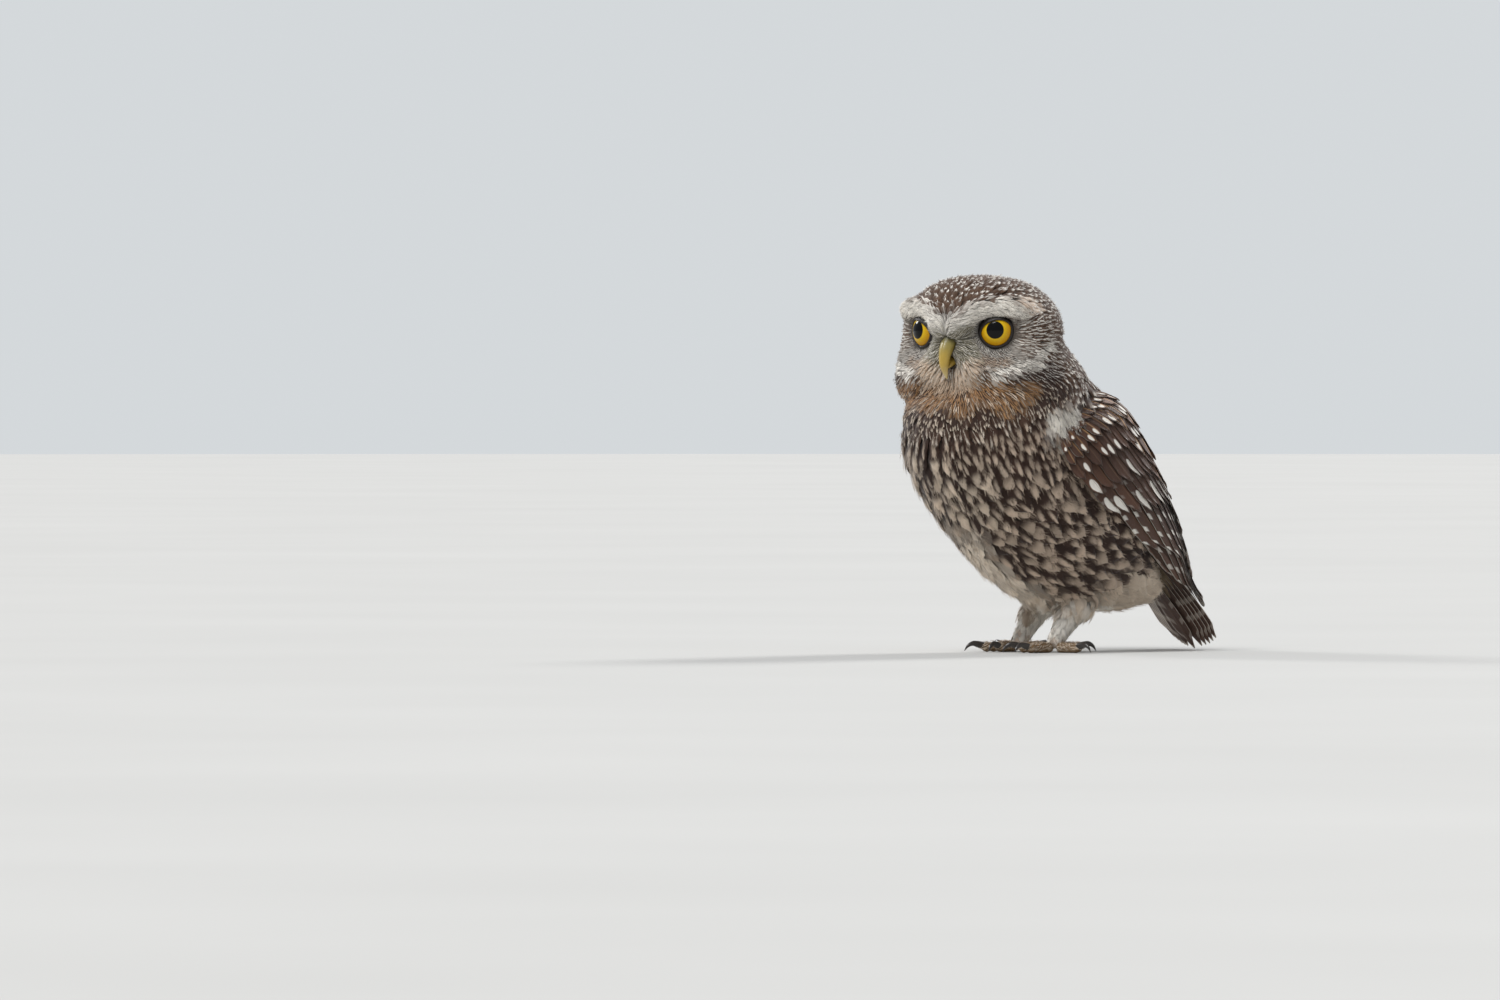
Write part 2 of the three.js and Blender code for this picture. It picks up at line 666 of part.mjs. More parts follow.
// Legs, on the owl's left
const foot = at(FOOT_SIDE, FOOT_FORE, 0);
const legCurve = curveThrough([
  at(FOOT_SIDE + 2, FOOT_FORE - 22, 38),
  at(FOOT_SIDE + 1, FOOT_FORE - 15, 26),
  at(FOOT_SIDE, FOOT_FORE - 7, 15),
  at(FOOT_SIDE, FOOT_FORE, 5.4),
]);
const LEG = [
  [10, 11],
  [8.5, 9],
  [5.8, 6.2],
  [4.4, 4.4],
];
const FOOT_PAD = { r: 5, height: 0.66, up: 3.5 };
const LEG_FACETS = [12, 5];
const PAD_FACETS = [12, 6];

function legSolid(grow) {
  const radii = LEG.map(([wide, deep]) => [wide + grow, deep + grow]);
  return solid(hornGeometry(legCurve, radii, ...LEG_FACETS));
}
function padSolid(grow) {
  const pad = new THREE.SphereGeometry(FOOT_PAD.r + grow, ...PAD_FACETS);
  return solid(pad.scale(1, 1, FOOT_PAD.height).translate(foot.x, foot.y, FOOT_PAD.up));
}
const leg = legSolid(0).add(padSolid(0));
const footShell = legSolid(GAP).add(padSolid(2 * GAP));
const legShells = legSolid(GAP).add(mirrored(legSolid(GAP)));
addNode("torso", trunk.intersect(neckSlab(-1)).subtract(legShells), breastPale);
addNode("leg_left", leg, legWhite);
addNode("leg_right", mirrored(leg), legWhite);

// Toes: heading from straight ahead towards the outer side, in degrees, length and claw length.
const TOES = {
  inner: { heading: -20, length: 13, claw: 8.5 },
  middle: { heading: 12, length: 15, claw: 9 },
  outer: { heading: 96, length: 12.5, claw: 8.5 },
  hind: { heading: 172, length: 10, claw: 8 },
};
const TOE_START = 4.6; // from the foot's middle
const TOE_UP = 2.45; // less than its radius, so that each toe stands on a flat
const TOE_TIP_SHARE = 0.78; // the last joint's radius, as a share of the first one's
const TOE_PADS = 3;
const TOE_SIDES = 8;
const TOE_STEPS = 7;
const TOE_END_SHARE = 0.6; // the toe narrows to this at its very end
const CLAW_FACETS = [8, 5];
const CLAW = [
  [1.3, 1.5],
  [1.2, 1.4],
  [1.0, 1.15],
  [0.65, 0.75],
  [0.15, 0.18],
];

const headingOf = ({ heading }) =>
  at(Math.sin(degToRad(heading)), Math.cos(degToRad(heading)), 0);
const flankOf = (toe) => headingOf(toe).cross(UPWARDS);
const toePoint = (toe, distance, up) =>
  foot.clone().addScaledVector(headingOf(toe), TOE_START + distance).setZ(up);

function toeSolid(toe, grow) {
  const rod = new THREE.CylinderGeometry(1, 1, 1, TOE_SIDES, TOE_STEPS, false, Math.PI / TOE_SIDES);
  reshape(rod, (p) => {
    const share = p.y + 0.5;
    const waist = 0.93 + 0.07 * Math.cos(share * Math.PI * 2 * TOE_PADS);
    const end = share > 0.99 ? TOE_END_SHARE : 1;
    const size = TOE_R * waist * lerp(1, TOE_TIP_SHARE, share) * end + grow;
    const q = toePoint(toe, toe.length * share, TOE_UP)
      .addScaledVector(flankOf(toe), p.x * size)
      .addScaledVector(UPWARDS, p.z * size);
    return q.setZ(Math.max(q.z, -grow));
  });
  return solid(rod);
}

function clawSolid(toe) {
  const { length, claw } = toe;
  const curve = curveThrough([
    toePoint(toe, length + 1.6 * GAP, TOE_UP + 0.3),
    toePoint(toe, length + claw * 0.24, TOE_UP + 0.6),
    toePoint(toe, length + claw * 0.5, TOE_UP + 1.5),
    toePoint(toe, length + claw * 0.8, TOE_UP + 0.5),
    toePoint(toe, length + claw, 0.6),
  ]);
  return solid(hornGeometry(curve, CLAW, ...CLAW_FACETS, flankOf(toe)));
}

let taken = footShell;
for (const [name, toe] of Object.entries(TOES)) {
  const left = toeSolid(toe, 0).subtract(taken);
  taken = taken.add(toeSolid(toe, GAP));
  addNode(`toe_left_${name}`, left, toeBuff);
  addNode(`toe_right_${name}`, mirrored(left), toeBuff);
  addNode(`claw_left_${name}`, clawSolid(toe), clawBlack);
  addNode(`claw_right_${name}`, mirrored(clawSolid(toe)), clawBlack);
}

// The origin goes on the floor under the middle of the owl's box.
const box = new THREE.Box3().setFromObject(owl);
owl.position.set(-(box.min.x + box.max.x) / 2, -(box.min.y + box.max.y) / 2, -box.min.z);

export default owl;
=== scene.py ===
"""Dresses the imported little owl: skin, feather coat, wing and tail feathers, eyes, bill and feet."""
import json
import math
from functools import partialmethod

import bmesh
import bpy
import numpy as np
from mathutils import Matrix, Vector
from mathutils.bvhtree import BVHTree
from mathutils.kdtree import KDTree


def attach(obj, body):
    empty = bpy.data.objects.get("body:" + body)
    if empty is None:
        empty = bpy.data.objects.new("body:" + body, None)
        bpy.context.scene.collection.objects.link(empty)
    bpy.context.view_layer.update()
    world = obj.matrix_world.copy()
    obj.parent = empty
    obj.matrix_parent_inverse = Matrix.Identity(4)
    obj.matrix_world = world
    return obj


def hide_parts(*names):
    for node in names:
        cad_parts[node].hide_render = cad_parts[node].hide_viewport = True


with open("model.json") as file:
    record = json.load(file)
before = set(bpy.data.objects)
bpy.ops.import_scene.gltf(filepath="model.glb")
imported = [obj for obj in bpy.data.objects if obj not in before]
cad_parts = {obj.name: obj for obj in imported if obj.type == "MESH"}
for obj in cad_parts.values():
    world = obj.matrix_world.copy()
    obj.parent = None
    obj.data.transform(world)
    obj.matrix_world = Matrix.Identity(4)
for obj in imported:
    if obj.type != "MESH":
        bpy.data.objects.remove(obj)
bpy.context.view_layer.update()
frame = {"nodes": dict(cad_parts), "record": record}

bl_info = {
    "name": "Little owl",
    "version": (1, 0, 0),
    "blender": (4, 5, 0),
    "location": "View3D > Sidebar > Owl",
    "description": "Builds the coat, wings, tail, eyes, bill and feet of a life-size little owl",
    "category": "Add Mesh",
}

# Places, in millimetres from the floor between the feet: x to the owl's left, y behind it, z up.
REST_TOE = (15.9, 5.6)  # [to the left, ahead] of the resting face under a toe
MM = 0.001
rest = next(m for m in frame["record"]["mounts"] if m["name"] == "rest")
FEET = np.array([rest["pos_m"][0] - REST_TOE[0] * MM, rest["pos_m"][1] + REST_TOE[1] * MM, 0.0])
LEFT = np.array([1.0, 0.0, 0.0])
UP = np.array([0.0, 0.0, 1.0])


def at(side, fore, up):
    """A place to the owl's left, ahead and up."""
    return np.array([side, -fore, up], float)


def to_row(points):
    """Millimetres about the feet as metres in the model's frame."""
    return np.asarray(points) * MM + FEET


def to_owl(points):
    """Metres in the model's frame as millimetres about the feet."""
    return (np.asarray(points) - FEET) / MM


def unit(vectors):
    """Vectors of length one."""
    size = np.linalg.norm(vectors, axis=-1, keepdims=True)
    return vectors / np.maximum(size, 1e-9)


def ramp(value, low, high):
    """A smooth rise from 0 at low to 1 at high."""
    share = np.clip((value - low) / (high - low), 0, 1)
    return share * share * (3 - 2 * share)


def lerp(a, b, share):
    """Between a and b."""
    return a + (b - a) * share


def tint(code):
    """A colour code such as c0ffee as linear red, green and blue."""
    parts = np.array([int(code[i : i + 2], 16) for i in (0, 2, 4)]) / 255
    return tuple(np.where(parts < 0.04045, parts / 12.92, ((parts + 0.055) / 1.055) ** 2.4))


def spline(points, share):
    """A smooth curve through points at shares of its run, its pace set by the points' spacing."""
    count = len(points)
    points = np.asarray(points, float)
    if points.ndim == 2:
        points = points[:, None]
    points = np.broadcast_to(points, (count, len(share), points.shape[-1]))
    place = np.clip(share, 0, 1) * (count - 1)
    first = np.minimum(place.astype(int), count - 2)
    w = (place - first)[:, None]
    ends = np.concatenate([[2 * points[0] - points[1]], points, [2 * points[-1] - points[-2]]])
    each = np.arange(len(share))
    p = [ends[first + k, each] for k in range(4)]
    d = [np.maximum(np.linalg.norm(p[k + 1] - p[k], axis=1), 1e-9)[:, None] ** 0.5 for k in range(3)]
    m1 = ((p[1] - p[0]) / d[0] - (p[2] - p[0]) / (d[0] + d[1])) * d[1] + p[2] - p[1]
    m2 = ((p[3] - p[2]) / d[2] - (p[3] - p[1]) / (d[1] + d[2])) * d[1] + p[2] - p[1]
    a = 2 * p[1] - 2 * p[2] + m1 + m2
    b = 3 * p[2] - 3 * p[1] - 2 * m1 - m2
    return ((a * w + b) * w + m1) * w + p[1]


# The head's own frame: x to its left, y up and z ahead
HEAD_MIDDLE = at(0, 32, 149.5)
HEAD_YAW = math.radians(22)
HEAD_X = np.array([math.cos(HEAD_YAW), math.sin(HEAD_YAW), 0])
HEAD_Z = np.array([math.sin(HEAD_YAW), -math.cos(HEAD_YAW), 0])
HEAD_TURN = np.array([HEAD_X, UP, HEAD_Z])


def from_head(points):
    """Places in the head's frame as places about the feet."""
    return np.asarray(points) @ HEAD_TURN + HEAD_MIDDLE


def in_head(points):
    """Places about the feet as places in the head's frame."""
    return (points - HEAD_MIDDLE) @ HEAD_TURN.T


EYE_R = 9.5
EYE_APERTURE_R = 7.7
EYE_DEPTH = math.sqrt(EYE_R**2 - EYE_APERTURE_R**2)
EYE_SPLAY = math.radians(23)
IRIS_PLACE = np.array([20.6, 4.6, 19.6])
BILL_TOP = np.array([0, 1.5, 28.5])
BILL_LENGTH = 20
COLLAR_FORE = 32
COLLAR_SLOPE = 0.28
SIDES = ((1, "left"), (-1, "right"))


def eye_axis(mirror):
    """Which way an eye looks, in the head's frame."""
    return np.array([mirror * math.sin(EYE_SPLAY), 0, math.cos(EYE_SPLAY)])


def eye_middle(mirror):
    """The middle of an eyeball, in the head's frame."""
    return IRIS_PLACE * (mirror, 1, 1) - eye_axis(mirror) * EYE_DEPTH


def parted(points):
    """How far places about the feet are to either side, ahead and up."""
    return np.abs(points[:, 0]), -points[:, 1], points[:, 2]


def over_collar(points):
    """Height over the sloping plane near which the head's coat begins."""
    _, fore, up = parted(points)
    return up - COLLAR_SLOPE * (COLLAR_FORE - fore)


def from_irises(local):
    """Distance from the nearer iris, for places in the head's frame."""
    return np.minimum(*(np.linalg.norm(local - IRIS_PLACE * (m, 1, 1), axis=1) for m, _ in SIDES))


# Shader sums
class Value:
    """A shader value that takes part in Python sums, each of which adds a Math node."""

    def __init__(self, sheet, socket):
        self.sheet = sheet
        self.socket = socket

    def math(self, operation, *others):
        inputs = dict(enumerate((self, *others)))
        return self.sheet.node("ShaderNodeMath", {"operation": operation}, inputs)

    __add__ = __radd__ = partialmethod(math, "ADD")
    __mul__ = __rmul__ = partialmethod(math, "MULTIPLY")
    __sub__ = partialmethod(math, "SUBTRACT")
    __truediv__ = partialmethod(math, "DIVIDE")
    __pow__ = partialmethod(math, "POWER")
    __abs__ = partialmethod(math, "ABSOLUTE")

    def __rsub__(self, other):
        return self.sheet.node("ShaderNodeMath", {"operation": "SUBTRACT"}, {0: other, 1: self})

    def rise(self, low, high):
        """A smooth rise from 0 at low to 1 at high."""
        settings = {"interpolation_type": "SMOOTHSTEP"}
        inputs = {"Value": self, "From Min": low, "From Max": high}
        return self.sheet.node("ShaderNodeMapRange", settings, inputs)

    def within(self, edge, soft):
        """1 below an edge and 0 past it."""
        return (self - edge).rise(soft, -soft)


class Sheet:
    """One material and the nodes in it."""

    def __init__(self, name):
        self.material = bpy.data.materials.new(name)
        self.material.use_nodes = True
        self.tree = self.material.node_tree
        self.shader = self.tree.nodes["Principled BSDF"]

    def node(self, kind, settings=None, inputs=None, output=0):
        made = self.tree.nodes.new(kind)
        for key, value in (settings or {}).items():
            setattr(made, key, value)
        for key, value in (inputs or {}).items():
            self.feed(made.inputs[key], value)
        return Value(self, made.outputs[output])

    def feed(self, socket, value):
        """Links a value to a socket, or sets a plain number or colour there."""
        if isinstance(value, Value):
            self.tree.links.new(value.socket, socket)
        else:
            socket.default_value = value

    def attribute(self, name, output="Fac"):
        return self.node("ShaderNodeAttribute", {"attribute_name": name}, output=output)

    def parts(self, vector):
        """The three numbers of a vector."""
        made = self.node("ShaderNodeSeparateXYZ", inputs={0: vector}).socket.node
        return [Value(self, output) for output in made.outputs]

    def joined(self, x, y, z=0.0):
        return self.node("ShaderNodeCombineXYZ", inputs={0: x, 1: y, 2: z})

    def vane(self):
        """Across and along one feather, from 0 to 1."""
        across, along, _ = self.parts(self.node("ShaderNodeUVMap", {"uv_map": "Vane"}))
        return across, along

    def place(self):
        """Where a point is, in metres."""
        return self.node("ShaderNodeTexCoord", output="Object")

    def noise(self, vector, scale, detail=2.0):
        inputs = {"Vector": vector, "Scale": scale, "Detail": detail}
        return self.node("ShaderNodeTexNoise", inputs=inputs)

    def mix(self, mask, first, second):
        """First where the mask is 0 and second where it is 1."""
        settings = {"data_type": "RGBA", "clamp_factor": True}
        inputs = {0: mask, 6: self.colour(first), 7: self.colour(second)}
        return self.node("ShaderNodeMix", settings, inputs, output=2)

    def colour(self, value):
        return value if isinstance(value, Value) else (*value[:3], 1.0)

    def shaded(self, colour, amount):
        """A colour made lighter or darker by an amount about 1."""
        settings = {"operation": "SCALE"}
        return self.node("ShaderNodeVectorMath", settings, {0: colour, "Scale": amount})

    def finish(self, colour, roughness=0.7, height=None, depth=0.0001, **flat):
        """Sets the surface: what varies goes to colour, roughness and height."""
        surface = {"Base_Color": self.colour(colour), "Roughness": roughness, **flat}
        if height is not None:
            inputs = {"Height": height, "Distance": depth, "Strength": 1.0}
            surface["Normal"] = self.node("ShaderNodeBump", inputs=inputs)
        for key, value in surface.items():
            self.feed(self.shader.inputs[key.replace("_", " ")], value)
        return self.material


def speckled(name, scale, first, second, roughness, depth, **flat):
    """A material of two colours mixed by a fine noise, which also raises it."""
    sheet = Sheet(name)
    grain = sheet.noise(sheet.place(), scale, 3)
    return sheet.finish(sheet.mix(grain, first, second), roughness, grain, depth, **flat)


# Sizes and colours that a user would change
def size(name, text, value):
    return bpy.props.FloatProperty(name=name, description=text, default=value, unit="LENGTH")


def hue(name, text, code):
    return bpy.props.FloatVectorProperty(
        name=name, description=text, default=tint(code), subtype="COLOR", min=0, max=1
    )


class OwlSizes(bpy.types.PropertyGroup):
    """Depths and sizes of the coat, in metres."""

    body_coat: size("Body coat", "Depth of the coat over the body's skin", 0.0032)
    head_coat: size("Head coat", "Depth of the coat over the head's skin", 0.0018)
    face_coat: size("Face coat", "Depth of the coat about the eyes and bill", 0.0008)
    leg_coat: size("Leg coat", "Depth of the coat on the legs", 0.0014)
    skin_cell: size("Skin cell", "Cell size of the skin's remesh", 0.001)


class OwlColours(bpy.types.PropertyGroup):
    """Colours of the plumage and the bare parts."""

    crown: hue("Crown", "Brown of the crown", "5a4231")
    dark: hue("Dark streaks", "Brown of the body's streaks", "35231a")
    cream: hue("Cream", "Pale ground of the breast", "decdb8")
    white: hue("White", "Brows, bands and legs", "f0eadf")
    grey: hue("Grey", "Pale grey of the flanks", "c2ae9a")
    buff: hue("Buff", "Ruff under the chin", "ab8157")
    rufous: hue("Rufous", "Reddish brown of the scapulars", "64422f")
    wing: hue("Wing", "Chocolate of the wings", "452c1e")
    iris: hue("Iris", "Yellow of the eyes", "dfb01a")
    bill: hue("Bill", "Olive yellow of the bill", "b99a3e")
    toe: hue("Toes", "Skin of the toes", "9b7d58")
    claw: hue("Claws", "Horn of the claws", "241f1b")


def colours():
    """The colours as arrays by name."""
    group = bpy.context.scene.owl_colours
    return {key: np.array(getattr(group, key)[:3]) for key in OwlColours.__annotations__}


# Meshes and pieces
def added(name, data):
    """A new object of the scene."""
    made = bpy.data.objects.new(name, data)
    bpy.context.scene.collection.objects.link(made)
    return made


def piece(name, mesh, material, slot, *nodes):
    """A finished piece that rides on the owl and stands for its nodes."""
    made = added(name, mesh)
    mesh.materials.append(material)
    for polygon in mesh.polygons:
        polygon.use_smooth = True
    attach(made, "root")
    if nodes:
        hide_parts(*nodes)


def keep_vectors(mesh, name, values):
    """Stores a vector at each vertex, for a material to read."""
    layer = mesh.attributes.new(name, "FLOAT_VECTOR", "POINT")
    layer.data.foreach_set("vector", values.ravel().astype(np.float32))


def places_of(mesh):
    """The vertices of a mesh, in millimetres about the feet."""
    points = np.empty(len(mesh.vertices) * 3)
    mesh.vertices.foreach_get("co", points)
    return to_owl(points.reshape(-1, 3))


def mesh_of(bm, name):
    """A mesh from a bmesh whose places are in millimetres about the feet."""
    bmesh.ops.remove_doubles(bm, verts=bm.verts, dist=1e-4)
    bmesh.ops.recalc_face_normals(bm, faces=bm.faces)
    for vert in bm.verts:
        vert.co = Vector(to_row(vert.co))
    mesh = bpy.data.meshes.new(name)
    bm.to_mesh(mesh)
    bm.free()
    return mesh


def grid(across, along):
    """A bmesh grid from 0 to 1 each way, which a form is bent from."""
    bm = bmesh.new()
    bmesh.ops.create_grid(bm, x_segments=across, y_segments=along, size=0.5)
    bmesh.ops.translate(bm, verts=bm.verts, vec=(0.5, 0.5, 0))
    return bm


def bent(bm, place):
    """Moves the vertices of a bmesh: place takes an array of places and gives their new ones."""
    old = np.array([v.co for v in bm.verts])
    for vert, new in zip(bm.verts, place(old)):
        vert.co = Vector(new)
    return bm


ROD_STEP = 0.01


def horn(line, radii, side, around, along, shape=None):
    """A tapered rod along a line of places, with [width, depth] radii along it."""
    side = np.asarray(side, float)

    def place(p):
        angle = 2 * math.pi * p[:, 0]
        share = p[:, 1]
        middle = spline(line, share)
        ahead, behind = np.minimum(share + ROD_STEP, 1), np.maximum(share - ROD_STEP, 0)
        run = unit(spline(line, ahead) - spline(line, behind))
        depth = unit(np.cross(side, run))
        size = np.abs(spline(radii, share))
        x, y = np.sin(angle), np.cos(angle)
        if shape:
            x, y = shape(x, y)
        wide = (x * size[:, 0])[:, None] * side
        return middle + wide + (y * size[:, 1])[:, None] * depth

    return bent(grid(around, along), place)


def template(across, along):
    """The places and faces of a flat vane, from 0 to 1 across and along."""
    bm = grid(across, along)
    bm.verts.ensure_lookup_table()
    flat = np.array([v.co[:2] for v in bm.verts])
    faces = np.array([[v.index for v in f.verts] for f in bm.faces])
    bm.free()
    return flat, faces


class Coat:
    """Gathers feathers and makes one mesh of them, with their maps and colours."""

    def __init__(self, name):
        self.name = name
        self.points, self.faces, self.vane, self.bake = [], [], [], []
        self.marks = {"ground": [], "mark": [], "pattern": []}
        self.count = 0

    def add(self, points, faces, vane, spots, patch, marks):
        """Feathers that share a form: points (feathers, places, 3), spots the root's place on the map."""
        feathers, places = points.shape[:2]
        starts = self.count + places * np.arange(feathers)
        self.points.append(points.reshape(-1, 3))
        self.faces.append((faces[None] + starts[:, None, None]).reshape(-1, faces.shape[1]))
        vane = np.broadcast_to(vane, (feathers, places, 2))
        self.vane.append(vane.reshape(-1, 2))
        self.bake.append((spots[:, None] + (vane - 0.5) * patch).reshape(-1, 2))
        for key, value in marks.items():
            self.marks[key].append(np.repeat(value, places, axis=0))
        self.count += feathers * places

    def build(self, material, slot, *nodes):
        mesh = bpy.data.meshes.new(self.name)
        points = to_row(np.concatenate(self.points))
        faces = np.concatenate(self.faces)
        mesh.from_pydata(points, [], faces)
        corners = faces.reshape(-1)
        for name, values in (("Vane", self.vane), ("OFBake", self.bake)):
            layer = mesh.uv_layers.new(name=name)
            layer.uv.foreach_set("vector", np.concatenate(values)[corners].ravel().astype(np.float32))
        for name, values in self.marks.items():
            keep_vectors(mesh, name, np.concatenate(values))
        piece(self.name, mesh, material, slot, *nodes)


# The skin and the lie of the coat
FLESH = ("head", "neck", "torso", "leg_left", "leg_right")
BROW_RISE = 2.2
BRIDGE = [(1, 4, 31.5), (6, 6, 31), (8, 0, 30)]
BRIDGE_RISE = 1.3
SEAM = 0.0003  # the gap between neighbouring solids, which the skin closes


class Skin:
    """The bird's skin: nearest places and their normals."""

    def __init__(self, mesh):
        self.points = places_of(mesh)
        self.normals = np.array([n.vector for n in mesh.vertex_normals])
        mesh.calc_loop_triangles()
        self.faces = np.empty(len(mesh.loop_triangles) * 3, np.int32)
        mesh.loop_triangles.foreach_get("vertices", self.faces)
        self.faces = self.faces.reshape(-1, 3)
        self.face_normals = unit(self.normals[self.faces].sum(1))
        self.tree = BVHTree.FromPolygons(self.points.tolist(), self.faces.tolist())

    def settle(self, points):
        """The nearest places on the skin, and their normals."""
        found = [self.tree.find_nearest(Vector(p)) for p in points]
        return np.array([f[0] for f in found]), self.face_normals[[f[2] for f in found]]

    def scatter(self, count, rng):
        """Random places, evenly spread over the skin."""
        corners = self.points[self.faces]
        first, second = corners[:, 1] - corners[:, 0], corners[:, 2] - corners[:, 0]
        area = np.linalg.norm(np.cross(first, second), axis=1)
        chosen = rng.choice(len(area), count, p=area / area.sum())
        u, v = rng.random((2, count, 1))
        u, v = np.where(u + v > 1, 1 - u, u), np.where(u + v > 1, 1 - v, v)
        c = corners[chosen]
        return c[:, 0] + u * (c[:, 1] - c[:, 0]) + v * (c[:, 2] - c[:, 0]), self.face_normals[chosen]


def thinned(points, spacing):
    """Which points stay when each keeps others at least its spacing away."""
    tree = KDTree(len(points))
    for i, p in enumerate(points):
        tree.insert(p, i)
    tree.balance()
    left = np.ones(len(points), bool)
    kept = []
    for i, p in enumerate(points):
        if left[i]:
            kept.append(i)
            for _, other, _ in tree.find_range(p, spacing[i]):
                left[other] = False
    return np.array(kept)


BROW = [(2, 5.5, 31.5), (6, 8, 31), (12, 13, 27.5), (18, 15.8, 24), (26, 16, 20), (32, 15, 16)]
BROW_DROOP = 0.3
BAND = [(40.5, -1, 3), (39, -5.5, 12), (36, -10.3, 18), (28.5, -12.5, 22), (20, -14, 26)]


def to_line(points, line):
    """Distance from a broken line, and the way that its nearest stretch runs."""
    line = np.asarray(line, float)
    best = np.full(len(points), 1e9)
    run = np.zeros_like(points)
    for a, b in zip(line, line[1:]):
        way = b - a
        share = np.clip((points - a) @ way / (way @ way), 0, 1)[:, None]
        far = np.linalg.norm(points - a - share * way, axis=1)
        run = np.where((far < best)[:, None], unit(way), run)
        best = np.minimum(best, far)
    return best, run


def brow_run(local):
    """Along the nearer brow in the head's frame, and how near it is."""
    mirror = np.where(local[:, 0] < 0, -1.0, 1.0)
    folded = local * np.stack([mirror, mirror**2, mirror**2], 1)
    best, run = to_line(folded, BROW)
    run = run - np.array([0, BROW_DROOP, 0])
    run[:, 0] *= mirror
    return run, (1 - ramp(best, 3, 6.5)) * ramp(np.abs(local[:, 0]), 0.5, 3.5)


HEIGHTS = np.arange(0, 181.0)
DRIFT = np.cumsum(lerp(2.5, 0.28, ramp(HEIGHTS, 35, 110)))  # how far the coat drifts ahead with height
CHAIN = 8.5  # from one chain of pale lobes to the next


def chain(points):
    """1 on the chains of pale lobes that run along the coat's lie, and 0 between them."""
    side, fore, up = parted(points)
    lane = side - fore + np.interp(up, HEIGHTS, DRIFT)
    lane = lane + 1.2 * np.sin(up * 0.33) + 0.9 * np.sin(points[:, 0] * 0.6)
    return 0.5 + 0.5 * np.sin(2 * math.pi * lane / CHAIN)


def lie(points, normals):
    """Which way the coat lies: back from the bill on the head, out from each eye, and down the body."""
    local = in_head(points)
    away = points - from_head(BILL_TOP + (0, -2, 0))
    onwards = unit(away) @ np.eye(3)
    for mirror in (1, -1):
        middle = eye_middle(mirror)
        near = 1 - ramp(np.linalg.norm(local - IRIS_PLACE * (mirror, 1, 1), axis=1), 8, 17)
        out = unit(points - from_head(middle + eye_axis(mirror) * EYE_R))
        onwards = lerp(onwards, out, 0.75 * near[:, None])
    side, fore, up = parted(points)
    high = ramp(up, 35, 110)[:, None]
    down = unit(lerp(at(0, -1, -0.4), at(0, -0.28, -1), high))
    down = down + LEFT * (np.sign(points[:, 0]) * 0.12 * ramp(side, 5, 30) * ramp(up, 60, 90))[:, None]
    leg = (ramp(fore, -30, -22) * (1 - ramp(up, 22, 30)))[:, None]
    down = lerp(down, at(0, 0.35, -1), leg)
    on_head = ramp(over_collar(points), 117, 127)[:, None]
    flow = lerp(down, onwards, on_head)
    along_brow, near = brow_run(local)
    flow = lerp(flow, along_brow @ HEAD_TURN, (on_head[:, 0] * near)[:, None])
    outwards = points * (1, 1, 0) - FOOT * np.stack([np.sign(points[:, 0]), side * 0 + 1, side * 0], 1)
    flow = lerp(flow, unit(outwards) - 0.3 * UP, 1 - ramp(up, 4.5, 7)[:, None])
    return unit(flow - (flow * normals).sum(1, keepdims=True) * normals)


